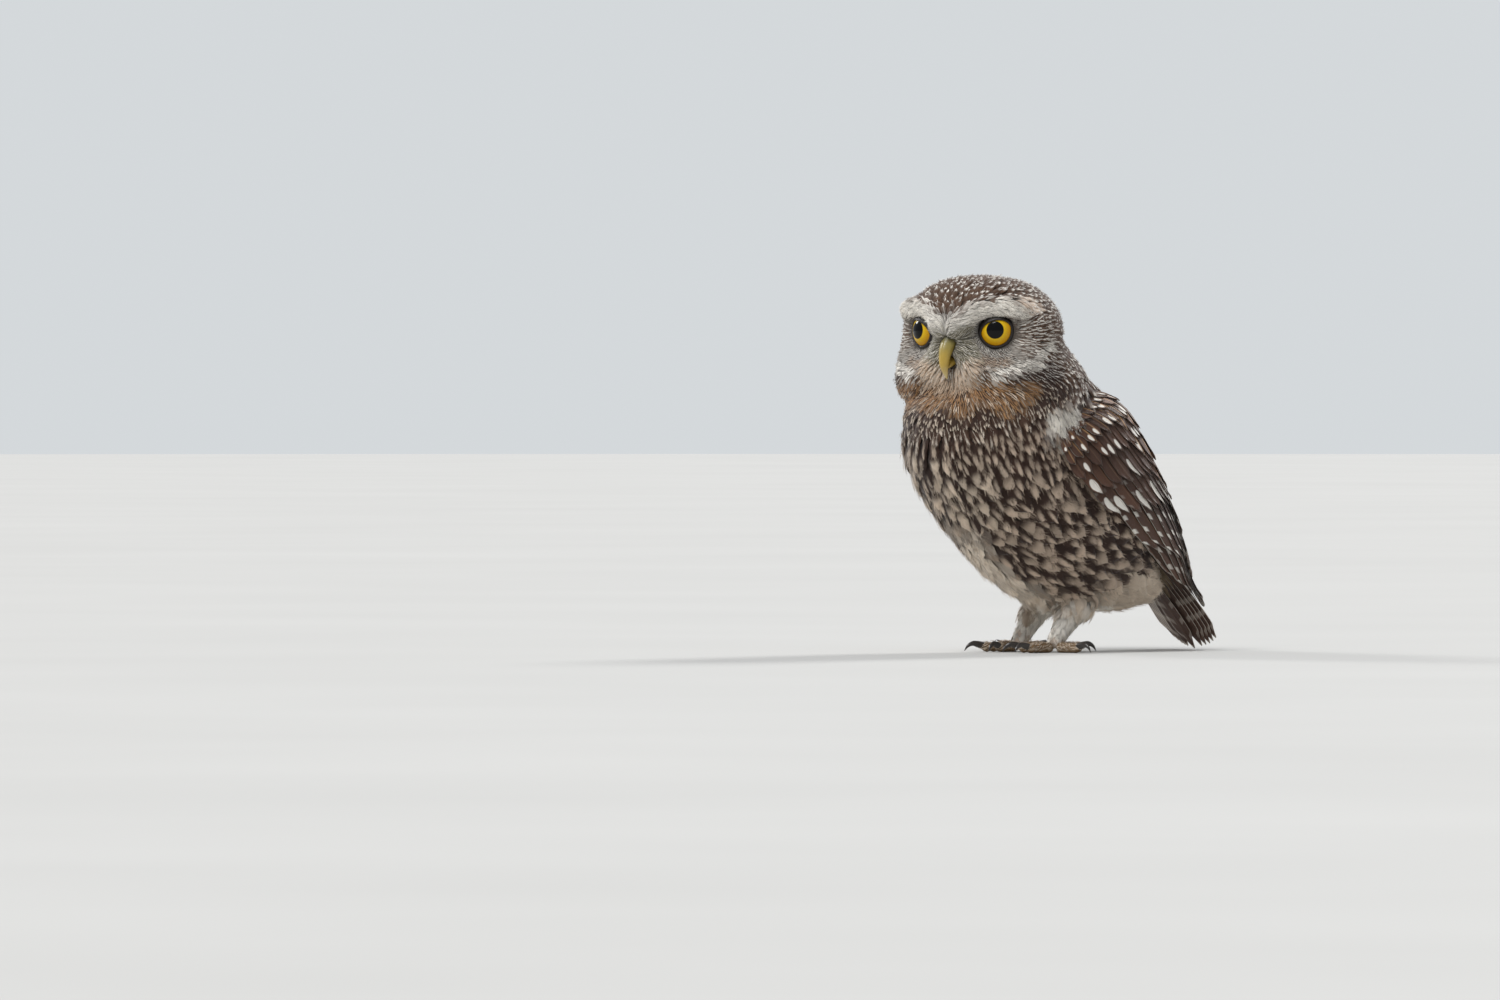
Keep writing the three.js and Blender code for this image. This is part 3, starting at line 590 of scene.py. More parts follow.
# Markings: each patch of plumage is painted over those before it
def plumage(points):
    """Size, colour and pattern of a feather at each place."""
    c = colours()
    local = in_head(points)
    x, y, z = np.abs(local[:, 0]), local[:, 1], local[:, 2]
    head = np.stack([x, y, z], 1)
    side, fore, up = parted(points)
    count = len(points)
    paint = {
        "length": np.full(count, 15.0),
        "half": np.full(count, 4.8),
        "spacing": np.full(count, 4.6),
        "ground": np.tile(c["dark"], (count, 1)),
        "mark": np.tile(c["grey"], (count, 1)),
        "streak": np.zeros(count),
        "spot": np.full(count, 0.66),
        "reach": np.full(count, 0.4),
    }

    def over(mask, **values):
        for key, value in values.items():
            share = mask[:, None] if paint[key].ndim == 2 else mask
            paint[key] = lerp(paint[key], np.asarray(value, float), share)

    def near(line, inner, outer):
        return 1 - ramp(to_line(head, line)[0], inner, outer)

    wobble = 2.2 * np.sin(points[:, 0] * 0.45 + points[:, 2] * 0.31) + 1.6 * np.sin(points[:, 1] * 0.52)
    # Body
    paint["spot"] = lerp(0.2, 0.8, chain(points))
    breast = ramp(fore + 0.35 * up - 0.6 * side + wobble, 52, 68) * ramp(up, 55, 78)
    over(breast, length=15, half=3.5, spacing=3.5, mark=lerp(c["grey"], c["cream"], 0.6), reach=0.45)
    high_breast = ramp(up + 0.2 * side, 98, 112) * ramp(fore, 8, 20)
    over(high_breast, length=11, half=2.2, spacing=2.5, ground=c["dark"] * 1.5, mark=c["grey"], spot=0.5)
    belly = (1 - ramp(side + wobble, 6, 13)) * (1 - ramp(up, 58, 72))
    pale = lerp(c["cream"], c["white"], 0.3)
    over(belly, length=12, half=2.8, spacing=2.8, ground=pale, mark=c["dark"], streak=0.05, spot=0)
    vent = 1 - ramp(up + 0.25 * fore + wobble, 25, 36)
    over(
        vent, length=12, half=3.2, spacing=2.9,
        ground=c["cream"] * 0.95, mark=c["grey"], streak=0.0, spot=0,
    )
    back = 1 - ramp(fore + 0.9 * (110 - up) * (up < 110) + wobble, -20, -8)
    back = back * ramp(up, 40, 60)
    over(
        back, length=14, half=3.6, spacing=3.0, ground=c["rufous"],
        mark=c["cream"], streak=0, spot=0.3, reach=0.14,
    )
    shoulder = 1 - ramp(np.linalg.norm(points[:, 1:] - at(0, 15, 116)[1:], axis=1), 6, 12)
    shoulder = shoulder * ramp(side, 33, 37)
    over(shoulder, length=10, half=2.4, spacing=2.2, ground=c["white"], mark=c["dark"], streak=0.07, spot=0)
    # Head
    on_head = ramp(over_collar(points), 114, 122)
    over(
        on_head, length=6.2, half=1.75, spacing=2.0, ground=c["crown"], mark=c["white"],
        streak=0.0, spot=0.42, reach=0.24,
    )
    nape = on_head * (1 - ramp(z, -24, -8)) * (1 - ramp(y, 0, 14))
    over(nape, length=9, half=2.3, spacing=2.3, ground=c["crown"], mark=c["white"], spot=0.45, reach=0.3)
    cheek = on_head * ramp(z, -8, 4) * (1 - ramp(y, 8, 13))
    over(
        cheek, length=6.5, half=1.1, spacing=1.4, ground=c["crown"],
        mark=c["white"] * 0.9, spot=0.0, streak=0.3,
    )
    rear_cheek = cheek * near([(29, -17, 22), (42, -14, 3), (38, -20, -8)], 4, 8)
    over(rear_cheek, ground=c["dark"] * 1.2, streak=0.16)
    below = on_head * ramp(z, -12, 0) * (1 - ramp(y, -21, -16))
    over(
        below, length=8, half=1.5, spacing=1.8, ground=c["dark"] * 1.2,
        mark=c["cream"], spot=0.4, streak=0.0,
    )
    disc = on_head * ramp(z, 14, 19) * (1 - ramp(y, 9, 13)) * ramp(y, -14, -10)
    over(
        disc, length=4.4, half=0.75, spacing=1.0,
        ground=c["white"] * 0.55, mark=c["dark"], streak=0.34, spot=0,
    )
    lid = 1 - ramp(np.linalg.norm(head - IRIS_PLACE, axis=1), 9, 11)
    over(lid * on_head, length=2.6, half=0.6, spacing=0.62, mark=c["dark"])
    ochre = near([(13, -7, 28), (19, -10, 26), (24, -9, 23)], 2, 6)
    over(ochre * disc, ground=lerp(c["buff"], c["white"], 0.35) * 0.8, streak=0.38)
    lores = on_head * near([(4, 3, 30), (8, -6, 29)], 4, 8)
    over(
        lores, length=5.5, half=0.42, spacing=0.75,
        ground=tint("7b7560"), mark=c["white"], streak=0.3, spot=0,
    )
    brow = on_head * near(BROW, 2.6, 4.6)
    over(
        brow, length=7.5, half=0.5, spacing=0.78, ground=c["white"], mark=c["dark"] * 1.5,
        streak=0.08, spot=0, reach=0.2,
    )
    patch = near([(31, 19, 14), (36, 17, 10)], 3, 6)
    over(
        patch * on_head, length=6.5, half=1.3, spacing=1.7,
        ground=lerp(c["buff"], c["white"], 0.45), streak=0.1,
    )
    band = on_head * near(BAND, 1.2, 3.6)
    over(
        band, length=6.5, half=1.1, spacing=1.3, ground=c["white"],
        mark=c["dark"] * 1.3, streak=0.14, spot=0,
    )
    ruff = (1 - ramp(y + 0.1 * x, -18, -13)) * ramp(up + wobble, 117, 124) * ramp(z - 0.25 * x, 2, 12)
    over(ruff, length=9, half=0.8, spacing=1.2, ground=c["buff"], mark=c["dark"] * 1.1, streak=0.42, spot=0)
    whisker = on_head * near([(9, -12, 29), (4, -18, 30), (0, -18, 31)], 3, 7)
    over(
        whisker, length=7, half=0.6, spacing=0.95,
        ground=lerp(c["cream"], c["buff"], 0.4), streak=0.25, spot=0,
    )
    # Legs
    leg = (1 - ramp(up, 20, 28)) * ramp(fore, -34, -26)
    over(leg, length=7.5, half=1.2, spacing=1.25, ground=c["white"], mark=c["white"], streak=0, spot=0)
    over(leg * (1 - ramp(up, 8, 12)), length=6, ground=lerp(c["white"], c["buff"], 0.45))
    return paint


def blended(paint, rng):
    """Breaks up the patches: some feathers take a paler, darker or warmer ground."""
    c = colours()
    count = len(paint["half"])
    ruff = np.clip(1 - np.linalg.norm(paint["ground"] - c["buff"], axis=1) / 0.12, 0, 1)
    pick = rng.random(count)
    paler = (ruff * (pick < 0.34))[:, None]
    paint["ground"] = lerp(paint["ground"], c["cream"], 0.75 * paler)
    darker = (ruff * (pick > 0.82))[:, None]
    paint["ground"] = lerp(paint["ground"], c["dark"] * 1.6, 0.7 * darker)
    lobed = paint["spot"] > 0.5
    paint["spot"] = np.where(lobed & (pick < 0.14), 0.2, paint["spot"])
    dropped = (paint["spot"] < 0.1) & (paint["half"] > 3) & (pick > 0.78)
    paint["spot"] = np.where(dropped, 0.4, paint["spot"])
    return paint


def patterned(paint, rng):
    """The colours and pattern of each feather, varied from feather to feather."""
    pattern = np.stack([paint["streak"], paint["spot"], paint["reach"]], 1)
    pattern = pattern * rng.uniform(0.72, 1.28, pattern.shape)
    shade = rng.uniform(0.82, 1.15, (len(pattern), 1))
    return {
        "ground": paint["ground"] * shade,
        "mark": paint["mark"] * rng.uniform(0.72, 1.16, (len(pattern), 1)),
        "pattern": pattern,
    }


def unwrapped(points, middle):
    """The skin's places laid flat about their mean direction, from 0 to 1 each way."""
    away = unit(points - middle)
    pole = unit(away.mean(0))
    first = unit(np.cross(pole, (0.3, 0.2, 0.9)))
    second = np.cross(pole, first)
    angle = np.arccos(np.clip(away @ pole, -1, 1))
    turn = np.arctan2(away @ second, away @ first)
    flat = np.stack([angle * np.cos(turn), angle * np.sin(turn)], 1)
    low, high = flat.min(0), flat.max(0)
    return 0.02 + 0.96 * (flat - low) / (high - low)


PATCH = 0.003  # a small feather's share of its piece's map
FLOOR_GAP = 0.05
FLOOR_BAND = 0.9
SIZE_SPREAD = (0.85, 1.15)
LIFT_SPREAD = (0.7, 1.25)
SWAY = 0.12
ROLL = 0.13
CUP = 0.28  # how far the sides of a feather bend down, as a share of its half width
ROOT_WIDTH = 0.38
TIP_FROM = 0.6
TIP_RUN = 0.42
BARB_HALF = 0.1
BARB_FROM = (0.3, 0.86)
BARB_REACH = (0.14, 0.3)


def off_floor(points):
    """Bends up what would dip under the floor, so that it ends just above it."""
    depth = FLOOR_BAND - FLOOR_GAP
    low = np.minimum(points[..., 2] - FLOOR_BAND, 0)
    raised = FLOOR_GAP + depth * np.exp(low / depth)
    points[..., 2] = np.where(low < 0, raised, points[..., 2])
    return points


def coat(name, skin, roots, normals, paint, depth, middle, rng, rows, columns, strands):
    """Feathers over the skin that follow its lie, with loose barbs at their edges."""
    made = Coat(name)
    count = len(roots)
    length = paint["length"] * rng.uniform(*SIZE_SPREAD, count)
    half = paint["half"] * rng.uniform(*SIZE_SPREAD, count)
    spots = unwrapped(roots, middle)
    marks = patterned(paint, rng)
    places, outs, ways = [roots], [normals], [lie(roots, normals)]
    turn = rng.normal(0, SWAY, (count, 1))
    for _ in range(rows):
        way = unit(ways[-1] + np.cross(outs[-1], ways[-1]) * turn)
        p, n = skin.settle(places[-1] + way * (length / rows)[:, None])
        places.append(p)
        outs.append(n)
        ways.append(lie(p, n))
    places, outs, ways = (np.stack(v, 1) for v in (places, outs, ways))
    sides = unit(np.cross(outs, ways))

    def over_skin(along, across, height):
        """Places over the marched lines, at shares of the length, sideways and up from the skin."""
        place = np.clip(along * rows, 0, rows - 1e-6)
        first = place.astype(int)
        share = (along * rows - first)[..., None]
        held = np.clip(share, 0, 1)
        each = np.arange(count)[:, None]
        base = lerp(places[each, first], places[each, first + 1], share)
        out = unit(lerp(outs[each, first], outs[each, first + 1], held))
        aside = unit(lerp(sides[each, first], sides[each, first + 1], held))
        return off_floor(base + aside * across[..., None] + out * height[..., None])

    flat, faces = template(columns, rows)
    x, t = 2 * flat[:, 0] - 1, 1 - (1 - flat[:, 1]) ** 1.5
    tip = np.clip((t - TIP_FROM) / TIP_RUN, 0, 1)
    profile = (ROOT_WIDTH + (1 - ROOT_WIDTH) * ramp(t, 0, 0.5)) * np.sqrt(1 - tip**2.2)
    loose = (np.abs(x) > 0.99) | (t > 0.99)
    ragged = 1 + 0.12 * rng.standard_normal((count, len(t))) * loose
    along = t * (1 - 0.1 * x**2 * t) * (1 + 0.07 * rng.standard_normal((count, len(t))) * (t > 0.99))
    roll = rng.normal(0, ROLL, (count, 1))
    across = x * profile * ragged * half[:, None]
    lift = rng.uniform(*LIFT_SPREAD, (count, 1)) * depth[:, None]
    height = lift * (0.1 + 0.95 * t**0.8 - 0.25 * tip**3) - CUP * half[:, None] * x**2 * (0.4 + t)
    height = height + across * roll * t
    shown = np.stack([flat[:, 0], t], 1)
    made.add(over_skin(along, across, height), faces, shown, spots, PATCH, marks)
    thin, thin_faces = template(1, 2)
    tx, tt = 2 * thin[:, 0] - 1, thin[:, 1]
    for _ in range(strands):
        start = rng.uniform(*BARB_FROM, (count, 1))
        lane = rng.uniform(-1, 1, (count, 1))
        reach = rng.uniform(*BARB_REACH, (count, 1))
        along = start + reach * tt
        edge = np.sqrt(1 - np.clip((start - TIP_FROM) / TIP_RUN, 0, 1) ** 2.2)
        fan = lane * edge * (0.55 + 0.6 * tt) * half[:, None]
        across = fan + BARB_HALF * (1 - 0.8 * tt) * tx * rng.uniform(0.7, 1.5, (count, 1))
        height = lift * (0.25 + 0.95 * along**0.8) - CUP * half[:, None] * lane**2 * (0.4 + along)
        height = height + rng.uniform(0, 0.45, (count, 1)) * tt + across * roll * along
        middle_of_barb = np.broadcast_to(0.5 + 0.5 * lane * edge, along.shape)
        vane = np.stack([middle_of_barb, np.clip(along, 0, 1)], 2)
        made.add(over_skin(along, across, height), thin_faces, vane, spots, PATCH, marks)
    return made


BARB_BUMP = 0.00012


def coat_material(name):
    """Barbs, shaft, streak, spot and edge of a small feather, from its own map and marks, with painted shade
    towards its root.
    """
    sheet = Sheet(name)
    across, along = sheet.vane()
    off = abs(across * 2 - 1)
    streak, spot, reach = sheet.parts(sheet.attribute("pattern", "Vector"))
    barbs = sheet.noise(sheet.joined(across * 2.0, along * 22 - off * 9), 1.6, 1)
    soft = barbs - 0.5
    streaks = (off + soft * 0.3 - streak * (1.35 - along * 0.85)).rise(0.12, -0.12)
    streaks = streaks * streak.rise(0.02, 0.06)
    start = 1 - reach
    lobes = (off + soft * 0.45 - spot * (0.75 + along * 0.35)).rise(0.16, -0.16) * spot.rise(0.05, 0.15)
    lobes = lobes * (along + soft * 0.12 - start).rise(reach * -0.45, reach * 0.5)
    mask = streaks.math("MAXIMUM", lobes)
    ground = sheet.attribute("ground", "Color")
    mark = sheet.attribute("mark", "Color")
    painted = sheet.mix(mask, ground, mark)
    # Painted shade: darker towards the feather's root, where the feathers over it would shade it, with a
    # flicker from its barbs
    painted_root_shade = 0.6 + 0.4 * along.rise(0.0, 0.6) + soft * 0.3
    sheen = {"Sheen_Weight": 0.25, "Sheen_Roughness": 0.5, "Specular_IOR_Level": 0.25}
    return sheet.finish(sheet.shaded(painted, painted_root_shade), 0.75, barbs, BARB_BUMP, **sheen)


def smoothed(bm, rounds):
    """Evens out a bmesh."""
    for _ in range(rounds):
        axes = {f"use_axis_{axis}": True for axis in "xyz"}
        bmesh.ops.smooth_vert(bm, verts=bm.verts, factor=0.5, **axes)


def build_skin():
    """One skin from merged copies of the flesh, remeshed, smoothed and sunk by the coat's depth."""
    sizes = bpy.context.scene.owl_sizes
    bm = bmesh.new()
    for name in FLESH:
        bm.from_mesh(frame["nodes"][name].data)
    bmesh.ops.remove_doubles(bm, verts=bm.verts, dist=1e-6)
    bm.normal_update()
    for vert in bm.verts:
        vert.co += vert.normal * SEAM
    rough = bpy.data.meshes.new("skin_rough")
    bm.to_mesh(rough)
    bm.free()
    holder = bpy.data.objects.new("skin_rough", rough)
    bpy.context.scene.collection.objects.link(holder)
    remesh = holder.modifiers.new("remesh", "REMESH")
    remesh.mode = "VOXEL"
    remesh.voxel_size = sizes.skin_cell
    made = bpy.data.meshes.new_from_object(holder.evaluated_get(bpy.context.evaluated_depsgraph_get()))
    bpy.data.objects.remove(holder)
    bm = bmesh.new()
    bm.from_mesh(made)
    smoothed(bm, 5)
    bm.normal_update()
    points = to_owl(np.array([v.co for v in bm.verts]))
    local = in_head(points)
    ridge = BROW_RISE * brow_run(local)[1] * (points[:, 2] > 130)
    ridge = ridge + BRIDGE_RISE * (1 - ramp(to_line(np.abs(local), BRIDGE)[0], 1, 6))
    for vert, depth in zip(bm.verts, coat_depth(points) - ridge):
        vert.co -= vert.normal * (depth * MM + SEAM)
    smoothed(bm, 3)
    bm.to_mesh(made)
    bm.free()
    made.materials.clear()
    return made


def coat_depth(points):
    """Depth of the coat, in millimetres."""
    sizes = bpy.context.scene.owl_sizes
    local = in_head(points)
    _, fore, up = parted(points)
    on_head = ramp(over_collar(points), 116, 124)
    depth = lerp(sizes.body_coat, sizes.head_coat, on_head)
    bill = np.linalg.norm(local - BILL_TOP, axis=1)
    bare_edge = np.minimum(bill - 4, from_irises(local) - 9)
    depth = lerp(sizes.face_coat, depth, ramp(bare_edge, 0, 10))
    leg = (1 - ramp(up, 19, 27)) * ramp(fore, -34, -26)
    return lerp(depth, sizes.leg_coat, leg) / MM


# Each piece of the coat: its slot, the rows and columns of a feather's mesh, and its loose barbs
REGIONS = {
    "crown_feathers": ("head_feathers", 4, 4, 8),
    "face_feathers": ("head_feathers", 3, 2, 3),
    "nape_feathers": ("head_feathers", 4, 4, 8),
    "breast_feathers": ("body_feathers", 7, 6, 36),
    "belly_feathers": ("body_feathers", 7, 6, 40),
    "back_feathers": ("body_feathers", 6, 5, 16),
    "leg_feathers": ("leg_feathers", 4, 2, 5),
}
MAP_DEPTH = 30  # how far inside a piece the centre of its map lies
COAT_SEED = 11
COAT_TRIES = 600000
TRY_SPACING = 1.3  # feathers wider apart than this need fewer tries


def region_of(points):
    """The piece of the coat that each place belongs to."""
    local = in_head(points)
    _, fore, up = parted(points)
    names = np.full(len(points), "belly_feathers", dtype="U20")
    names[up > 72] = "breast_feathers"
    names[(fore < -4) & (up > 55)] = "back_feathers"
    on_head = over_collar(points) > 118
    names[on_head] = "nape_feathers"
    names[on_head & (local[:, 1] > 8)] = "crown_feathers"
    names[on_head & (local[:, 2] > 8) & (local[:, 1] < 18)] = "face_feathers"
    names[(up < 22) & (fore > -32)] = "leg_feathers"
    return names


def bare(points):
    """Where no feather roots: about the bill, inside the lids and next to the floor."""
    local = in_head(points)
    middle = [BILL_TOP + (0, 2, -3), BILL_TOP + (0, -8, 0), BILL_TOP + (0, -16, 0)]
    bill = to_line(local, middle)[0]
    return (from_irises(local) < 8.2) | (bill < 2.5) | (points[:, 2] < 1.2)


def picked(which, *groups):
    """The picked rows of arrays, and of tables of arrays."""
    return [{k: v[which] for k, v in g.items()} if isinstance(g, dict) else g[which] for g in groups]


class OWL_OT_skin(bpy.types.Operator):
    """Make the skin under the coat"""

    bl_idname = "owl.skin"
    bl_label = "Skin"

    def execute(self, context):
        mesh = build_skin()
        paint = plumage(places_of(mesh))
        share = np.clip(paint["streak"] + 0.5 * paint["spot"], 0, 1)[:, None]
        # Painted shade under the coat: the skin takes the plumage's colours at half their brightness, seen
        # through the coat's gaps
        under = lerp(paint["ground"], paint["mark"], share * 0.8) * 0.5
        keep_vectors(mesh, "ground", under)
        sheet = Sheet("down")
        fluff = sheet.noise(sheet.place(), 900, 3)
        colour = sheet.shaded(sheet.attribute("ground", "Color"), 0.7 + 0.6 * fluff)
        material = sheet.finish(colour, 0.9, fluff, 0.0003, Specular_IOR_Level=0.1)
        piece("skin", mesh, material, "body_feathers", *FLESH)
        return {"FINISHED"}


class OWL_OT_coat(bpy.types.Operator):
    """Lay the small feathers of the head, body and legs over the skin"""

    bl_idname = "owl.coat"
    bl_label = "Coat"

    def execute(self, context):
        rng = np.random.default_rng(COAT_SEED)
        skin = Skin(bpy.data.objects["skin"].data)
        points, normals = skin.scatter(COAT_TRIES, rng)
        points, normals = picked(~bare(points), points, normals)
        blur = lerp(0.7, 2.0, 1 - ramp(points[:, 2], 105, 125))[:, None]
        paint = plumage(points + rng.standard_normal(points.shape) * blur)
        tried = rng.random(len(points)) < (TRY_SPACING / paint["spacing"]) ** 2
        points, normals, paint = picked(tried, points, normals, paint)
        kept = thinned(points, paint["spacing"])
        points, normals, paint = picked(kept, points, normals, paint)
        paint = blended(paint, rng)
        names = region_of(points)
        material = coat_material("plumage")
        for name, (slot, *shape) in REGIONS.items():
            roots, outs, part = picked(names == name, points, normals, paint)
            middle = roots.mean(0) - outs.mean(0) * MAP_DEPTH
            made = coat(name, skin, roots, outs, part, coat_depth(roots), middle, rng, *shape)
            made.build(material, slot)
        return {"FINISHED"}


# Wings: sections from the shoulder to the tip, each with its upper edge near the back's middle, the
# ridge behind, its outermost part and its lower edge, as [left, ahead, up] on the owl's left.
WING = np.array([
    [at(16, -8, 131), at(29, -2, 126), at(38, 9, 116), at(43, 18, 102)],
    [at(10, -33, 121), at(29, -28, 119), at(42, -8, 108), at(46.5, 12, 88)],
    [at(5, -48, 107), at(28, -41.5, 105), at(42.5, -22, 93), at(46.5, -1, 74)],
    [at(3, -60, 89), at(25, -54, 88), at(38.5, -39, 77), at(43.5, -17, 62)],
    [at(3, -71, 71), at(20, -67.5, 69), at(31.5, -56, 60), at(36, -37, 50)],
    [at(3, -79.5, 54), at(14.5, -78, 52), at(23, -70, 46), at(27, -57, 38)],
    [at(4, -86, 39), at(10.5, -85, 36.5), at(15.5, -82, 32), at(18.5, -76, 28)],
    [at(7.5, -93, 21.5), at(9, -94.5, 20.5), at(11, -94, 19), at(12.5, -93, 17.5)],
])
SLOPE_STEP = 0.02


def wing_point(across, along):
    """The wing's outer surface: across is 0 at the upper edge, along 0 at the shoulder."""
    section = np.stack([spline(WING[:, edge], along) for edge in range(4)])
    return spline(section, across)


def wing_normal(across, along):
    """Outwards from the wing."""
    du = wing_point(np.minimum(across + SLOPE_STEP, 1), along)
    du = du - wing_point(np.maximum(across - SLOPE_STEP, 0), along)
    dv = wing_point(across, np.minimum(along + SLOPE_STEP, 1))
    dv = dv - wing_point(across, np.maximum(along - SLOPE_STEP, 0))
    return unit(np.cross(du, dv))


def wing_over(across, along, sideways, height):
    """A place over the wing's surface, also past its edges, where the surface runs on straight."""
    shape = across.shape
    spread = np.broadcast_arrays(across, along, sideways, height)
    across, along, sideways, height = (v.ravel() for v in spread)
    span = np.linalg.norm(wing_point(across * 0, along) - wing_point(across * 0 + 1, along), axis=1)
    wanted = across + sideways / span
    inside = np.clip(wanted, 0, 1)
    inner = np.clip(wanted, SLOPE_STEP, 1 - SLOPE_STEP)
    edge = wing_point(inside, along)
    step = np.where(inside == inner, 1, inside - inner)
    beyond = np.where(inside == inner, 0, (wanted - inside) / step)
    made = edge + (edge - wing_point(inner, along)) * beyond[:, None]
    made = made + wing_normal(inside, along) * height[:, None]
    return made.reshape(*shape, 3)


# Tiers of wing feathers, from the lowest layer up. Roots and tips run from the feather nearest the
# back to the one nearest the lower edge, as [across, along] on the wing.
WING_TIERS = {
    "primaries": dict(
        count=8, half=4.6, rise=(-2.6, -0.6), stack=3.4, tilt=0.7,
        roots=[(0.34, 0.6), (0.6, 0.5), (0.9, 0.42)], tips=[(0.2, 0.97), (0.5, 1.0), (0.78, 0.86)],
        bars=0.45, rim=0.55, oval=0, chance=0, hue="wing",
    ),
    "secondaries": dict(
        count=11, half=4.2, rise=(-2.4, 0.2), stack=2.2, tilt=0.8,
        roots=[(0.2, 0.46), (0.5, 0.39), (0.86, 0.3)], tips=[(0.16, 0.87), (0.45, 0.81), (0.88, 0.62)],
        bars=0.9, rim=0.5, oval=0, chance=0, hue="wing",
    ),
    "tertials": dict(
        count=3, half=5.5, rise=(-2.2, 0.9), stack=0.8, tilt=0.8,
        roots=[(0.12, 0.36), (0.2, 0.34), (0.3, 0.32)], tips=[(0.1, 0.74), (0.2, 0.72), (0.32, 0.68)],
        bars=0.8, rim=0.3, oval=0, chance=0, hue="wing",
    ),
    "greater_coverts": dict(
        count=11, half=3.9, rise=(-2, 0.6), stack=1, tilt=0.6,
        roots=[(0.34, 0.31), (0.6, 0.26), (0.92, 0.19)], tips=[(0.36, 0.55), (0.62, 0.51), (0.94, 0.42)],
        bars=0.3, rim=0.15, oval=0.62, chance=0.6, hue="wing",
    ),
    "median_coverts": dict(
        count=10, half=3.6, rise=(-1.8, 0.9), stack=0.8, tilt=0.5,
        roots=[(0.38, 0.21), (0.6, 0.17), (0.92, 0.11)], tips=[(0.4, 0.42), (0.63, 0.39), (0.94, 0.31)],
        bars=0.0, rim=0.1, oval=0.5, chance=0.45, hue="wing",
    ),
    "lesser_coverts_low": dict(
        count=12, half=2.9, rise=(-1, 1.1), stack=0.5, tilt=0.4,
        roots=[(0.34, 0.13), (0.6, 0.1), (0.95, 0.06)], tips=[(0.36, 0.3), (0.62, 0.27), (0.97, 0.21)],
        bars=0.0, rim=0.05, oval=0.28, chance=0.3, hue="wing",
    ),
    "lesser_coverts_high": dict(
        count=12, half=2.7, rise=(-0.4, 1.2), stack=0.4, tilt=0.3,
        roots=[(0.36, 0.05), (0.6, 0.03), (0.95, 0.01)], tips=[(0.38, 0.2), (0.62, 0.18), (0.97, 0.14)],
        bars=-0.4, rim=0.3, oval=0.3, chance=0.6, hue="wing",
    ),
    "marginal_coverts": dict(
        count=12, half=2.5, rise=(0.0, 1.2), stack=0.4, tilt=0.3,
        roots=[(0.3, 0.0), (0.6, 0.0), (0.96, 0.0)], tips=[(0.32, 0.1), (0.62, 0.09), (0.98, 0.07)],
        bars=-0.4, rim=0.4, oval=0.26, chance=0.5, hue="wing",
    ),
    "low_scapulars": dict(
        count=5, half=5, rise=(-1.4, 1.2), stack=0.8, tilt=0.6,
        roots=[(0.1, 0.3), (0.22, 0.26), (0.38, 0.2)], tips=[(0.08, 0.6), (0.22, 0.56), (0.44, 0.47)],
        bars=-0.7, rim=0.4, oval=0.5, chance=0.5, hue="rufous",
    ),
    "middle_scapulars": dict(
        count=6, half=4.6, rise=(-0.8, 1.4), stack=0.8, tilt=0.5,
        roots=[(0.08, 0.2), (0.24, 0.15), (0.42, 0.08)], tips=[(0.08, 0.46), (0.26, 0.42), (0.5, 0.34)],
        bars=-0.9, rim=0.4, oval=0.3, chance=0.3, hue="rufous",
    ),
    "high_scapulars": dict(
        count=6, half=4.2, rise=(-0.2, 1.5), stack=0.6, tilt=0.4,
        roots=[(0.08, 0.08), (0.24, 0.05), (0.42, 0.0)], tips=[(0.08, 0.32), (0.26, 0.28), (0.5, 0.22)],
        bars=-0.9, rim=0.4, oval=0.2, chance=0.3, hue="rufous",
    ),
    "top_scapulars": dict(
        count=6, half=3.8, rise=(0.0, 1.5), stack=0.4, tilt=0.4,
        roots=[(0.08, 0.0), (0.24, 0.0), (0.44, 0.0)], tips=[(0.08, 0.18), (0.26, 0.15), (0.5, 0.12)],
        bars=-0.6, rim=0.3, oval=0.2, chance=0.5, hue="rufous",
    ),
}
LONG_TIERS = ("primaries", "secondaries", "tertials")
WING_SEED = 5
WING_PATCH = 0.03
VANE_THICK = 0.18
WING_GAP = 0.4  # between each wing's feathers and the middle plane


def vane_places(surface, root, tip, half, rise, tilt, across, along):
    """Places of one vane over a surface, from a narrow root to a round tip."""
    width = np.clip(0.35 + 2.4 * along - 1.9 * along**2, 0, 1.1) * (1 - ramp(along, 0.82, 1.0) * 0.6)
    rounded = along * (1 - 0.07 * np.abs(across) ** 2 * along)
    u = lerp(root[0], tip[0], rounded)
    v = lerp(root[1], tip[1], rounded)
    height = lerp(rise[0], rise[1], along) + tilt * across + 0.25 * (1 - np.abs(across)) ** 6
    return surface(u, v, across * width * half, height)


def closed_vane(columns, rows):
    """A vane's grid with an upper and a lower face that share their rim, and which side each is on."""
    flat, faces = template(columns, rows)
    inner = (flat[:, 0] > 1e-3) & (flat[:, 0] < 1 - 1e-3) & (flat[:, 1] > 1e-3) & (flat[:, 1] < 1 - 1e-3)
    below = np.arange(len(flat))
    below[inner] = len(flat) + np.arange(inner.sum())
    every = np.concatenate([flat, flat[inner]])
    under = np.concatenate([np.zeros(len(flat)), np.ones(inner.sum())])
    return every, np.concatenate([faces, below[faces][:, ::-1]]), under


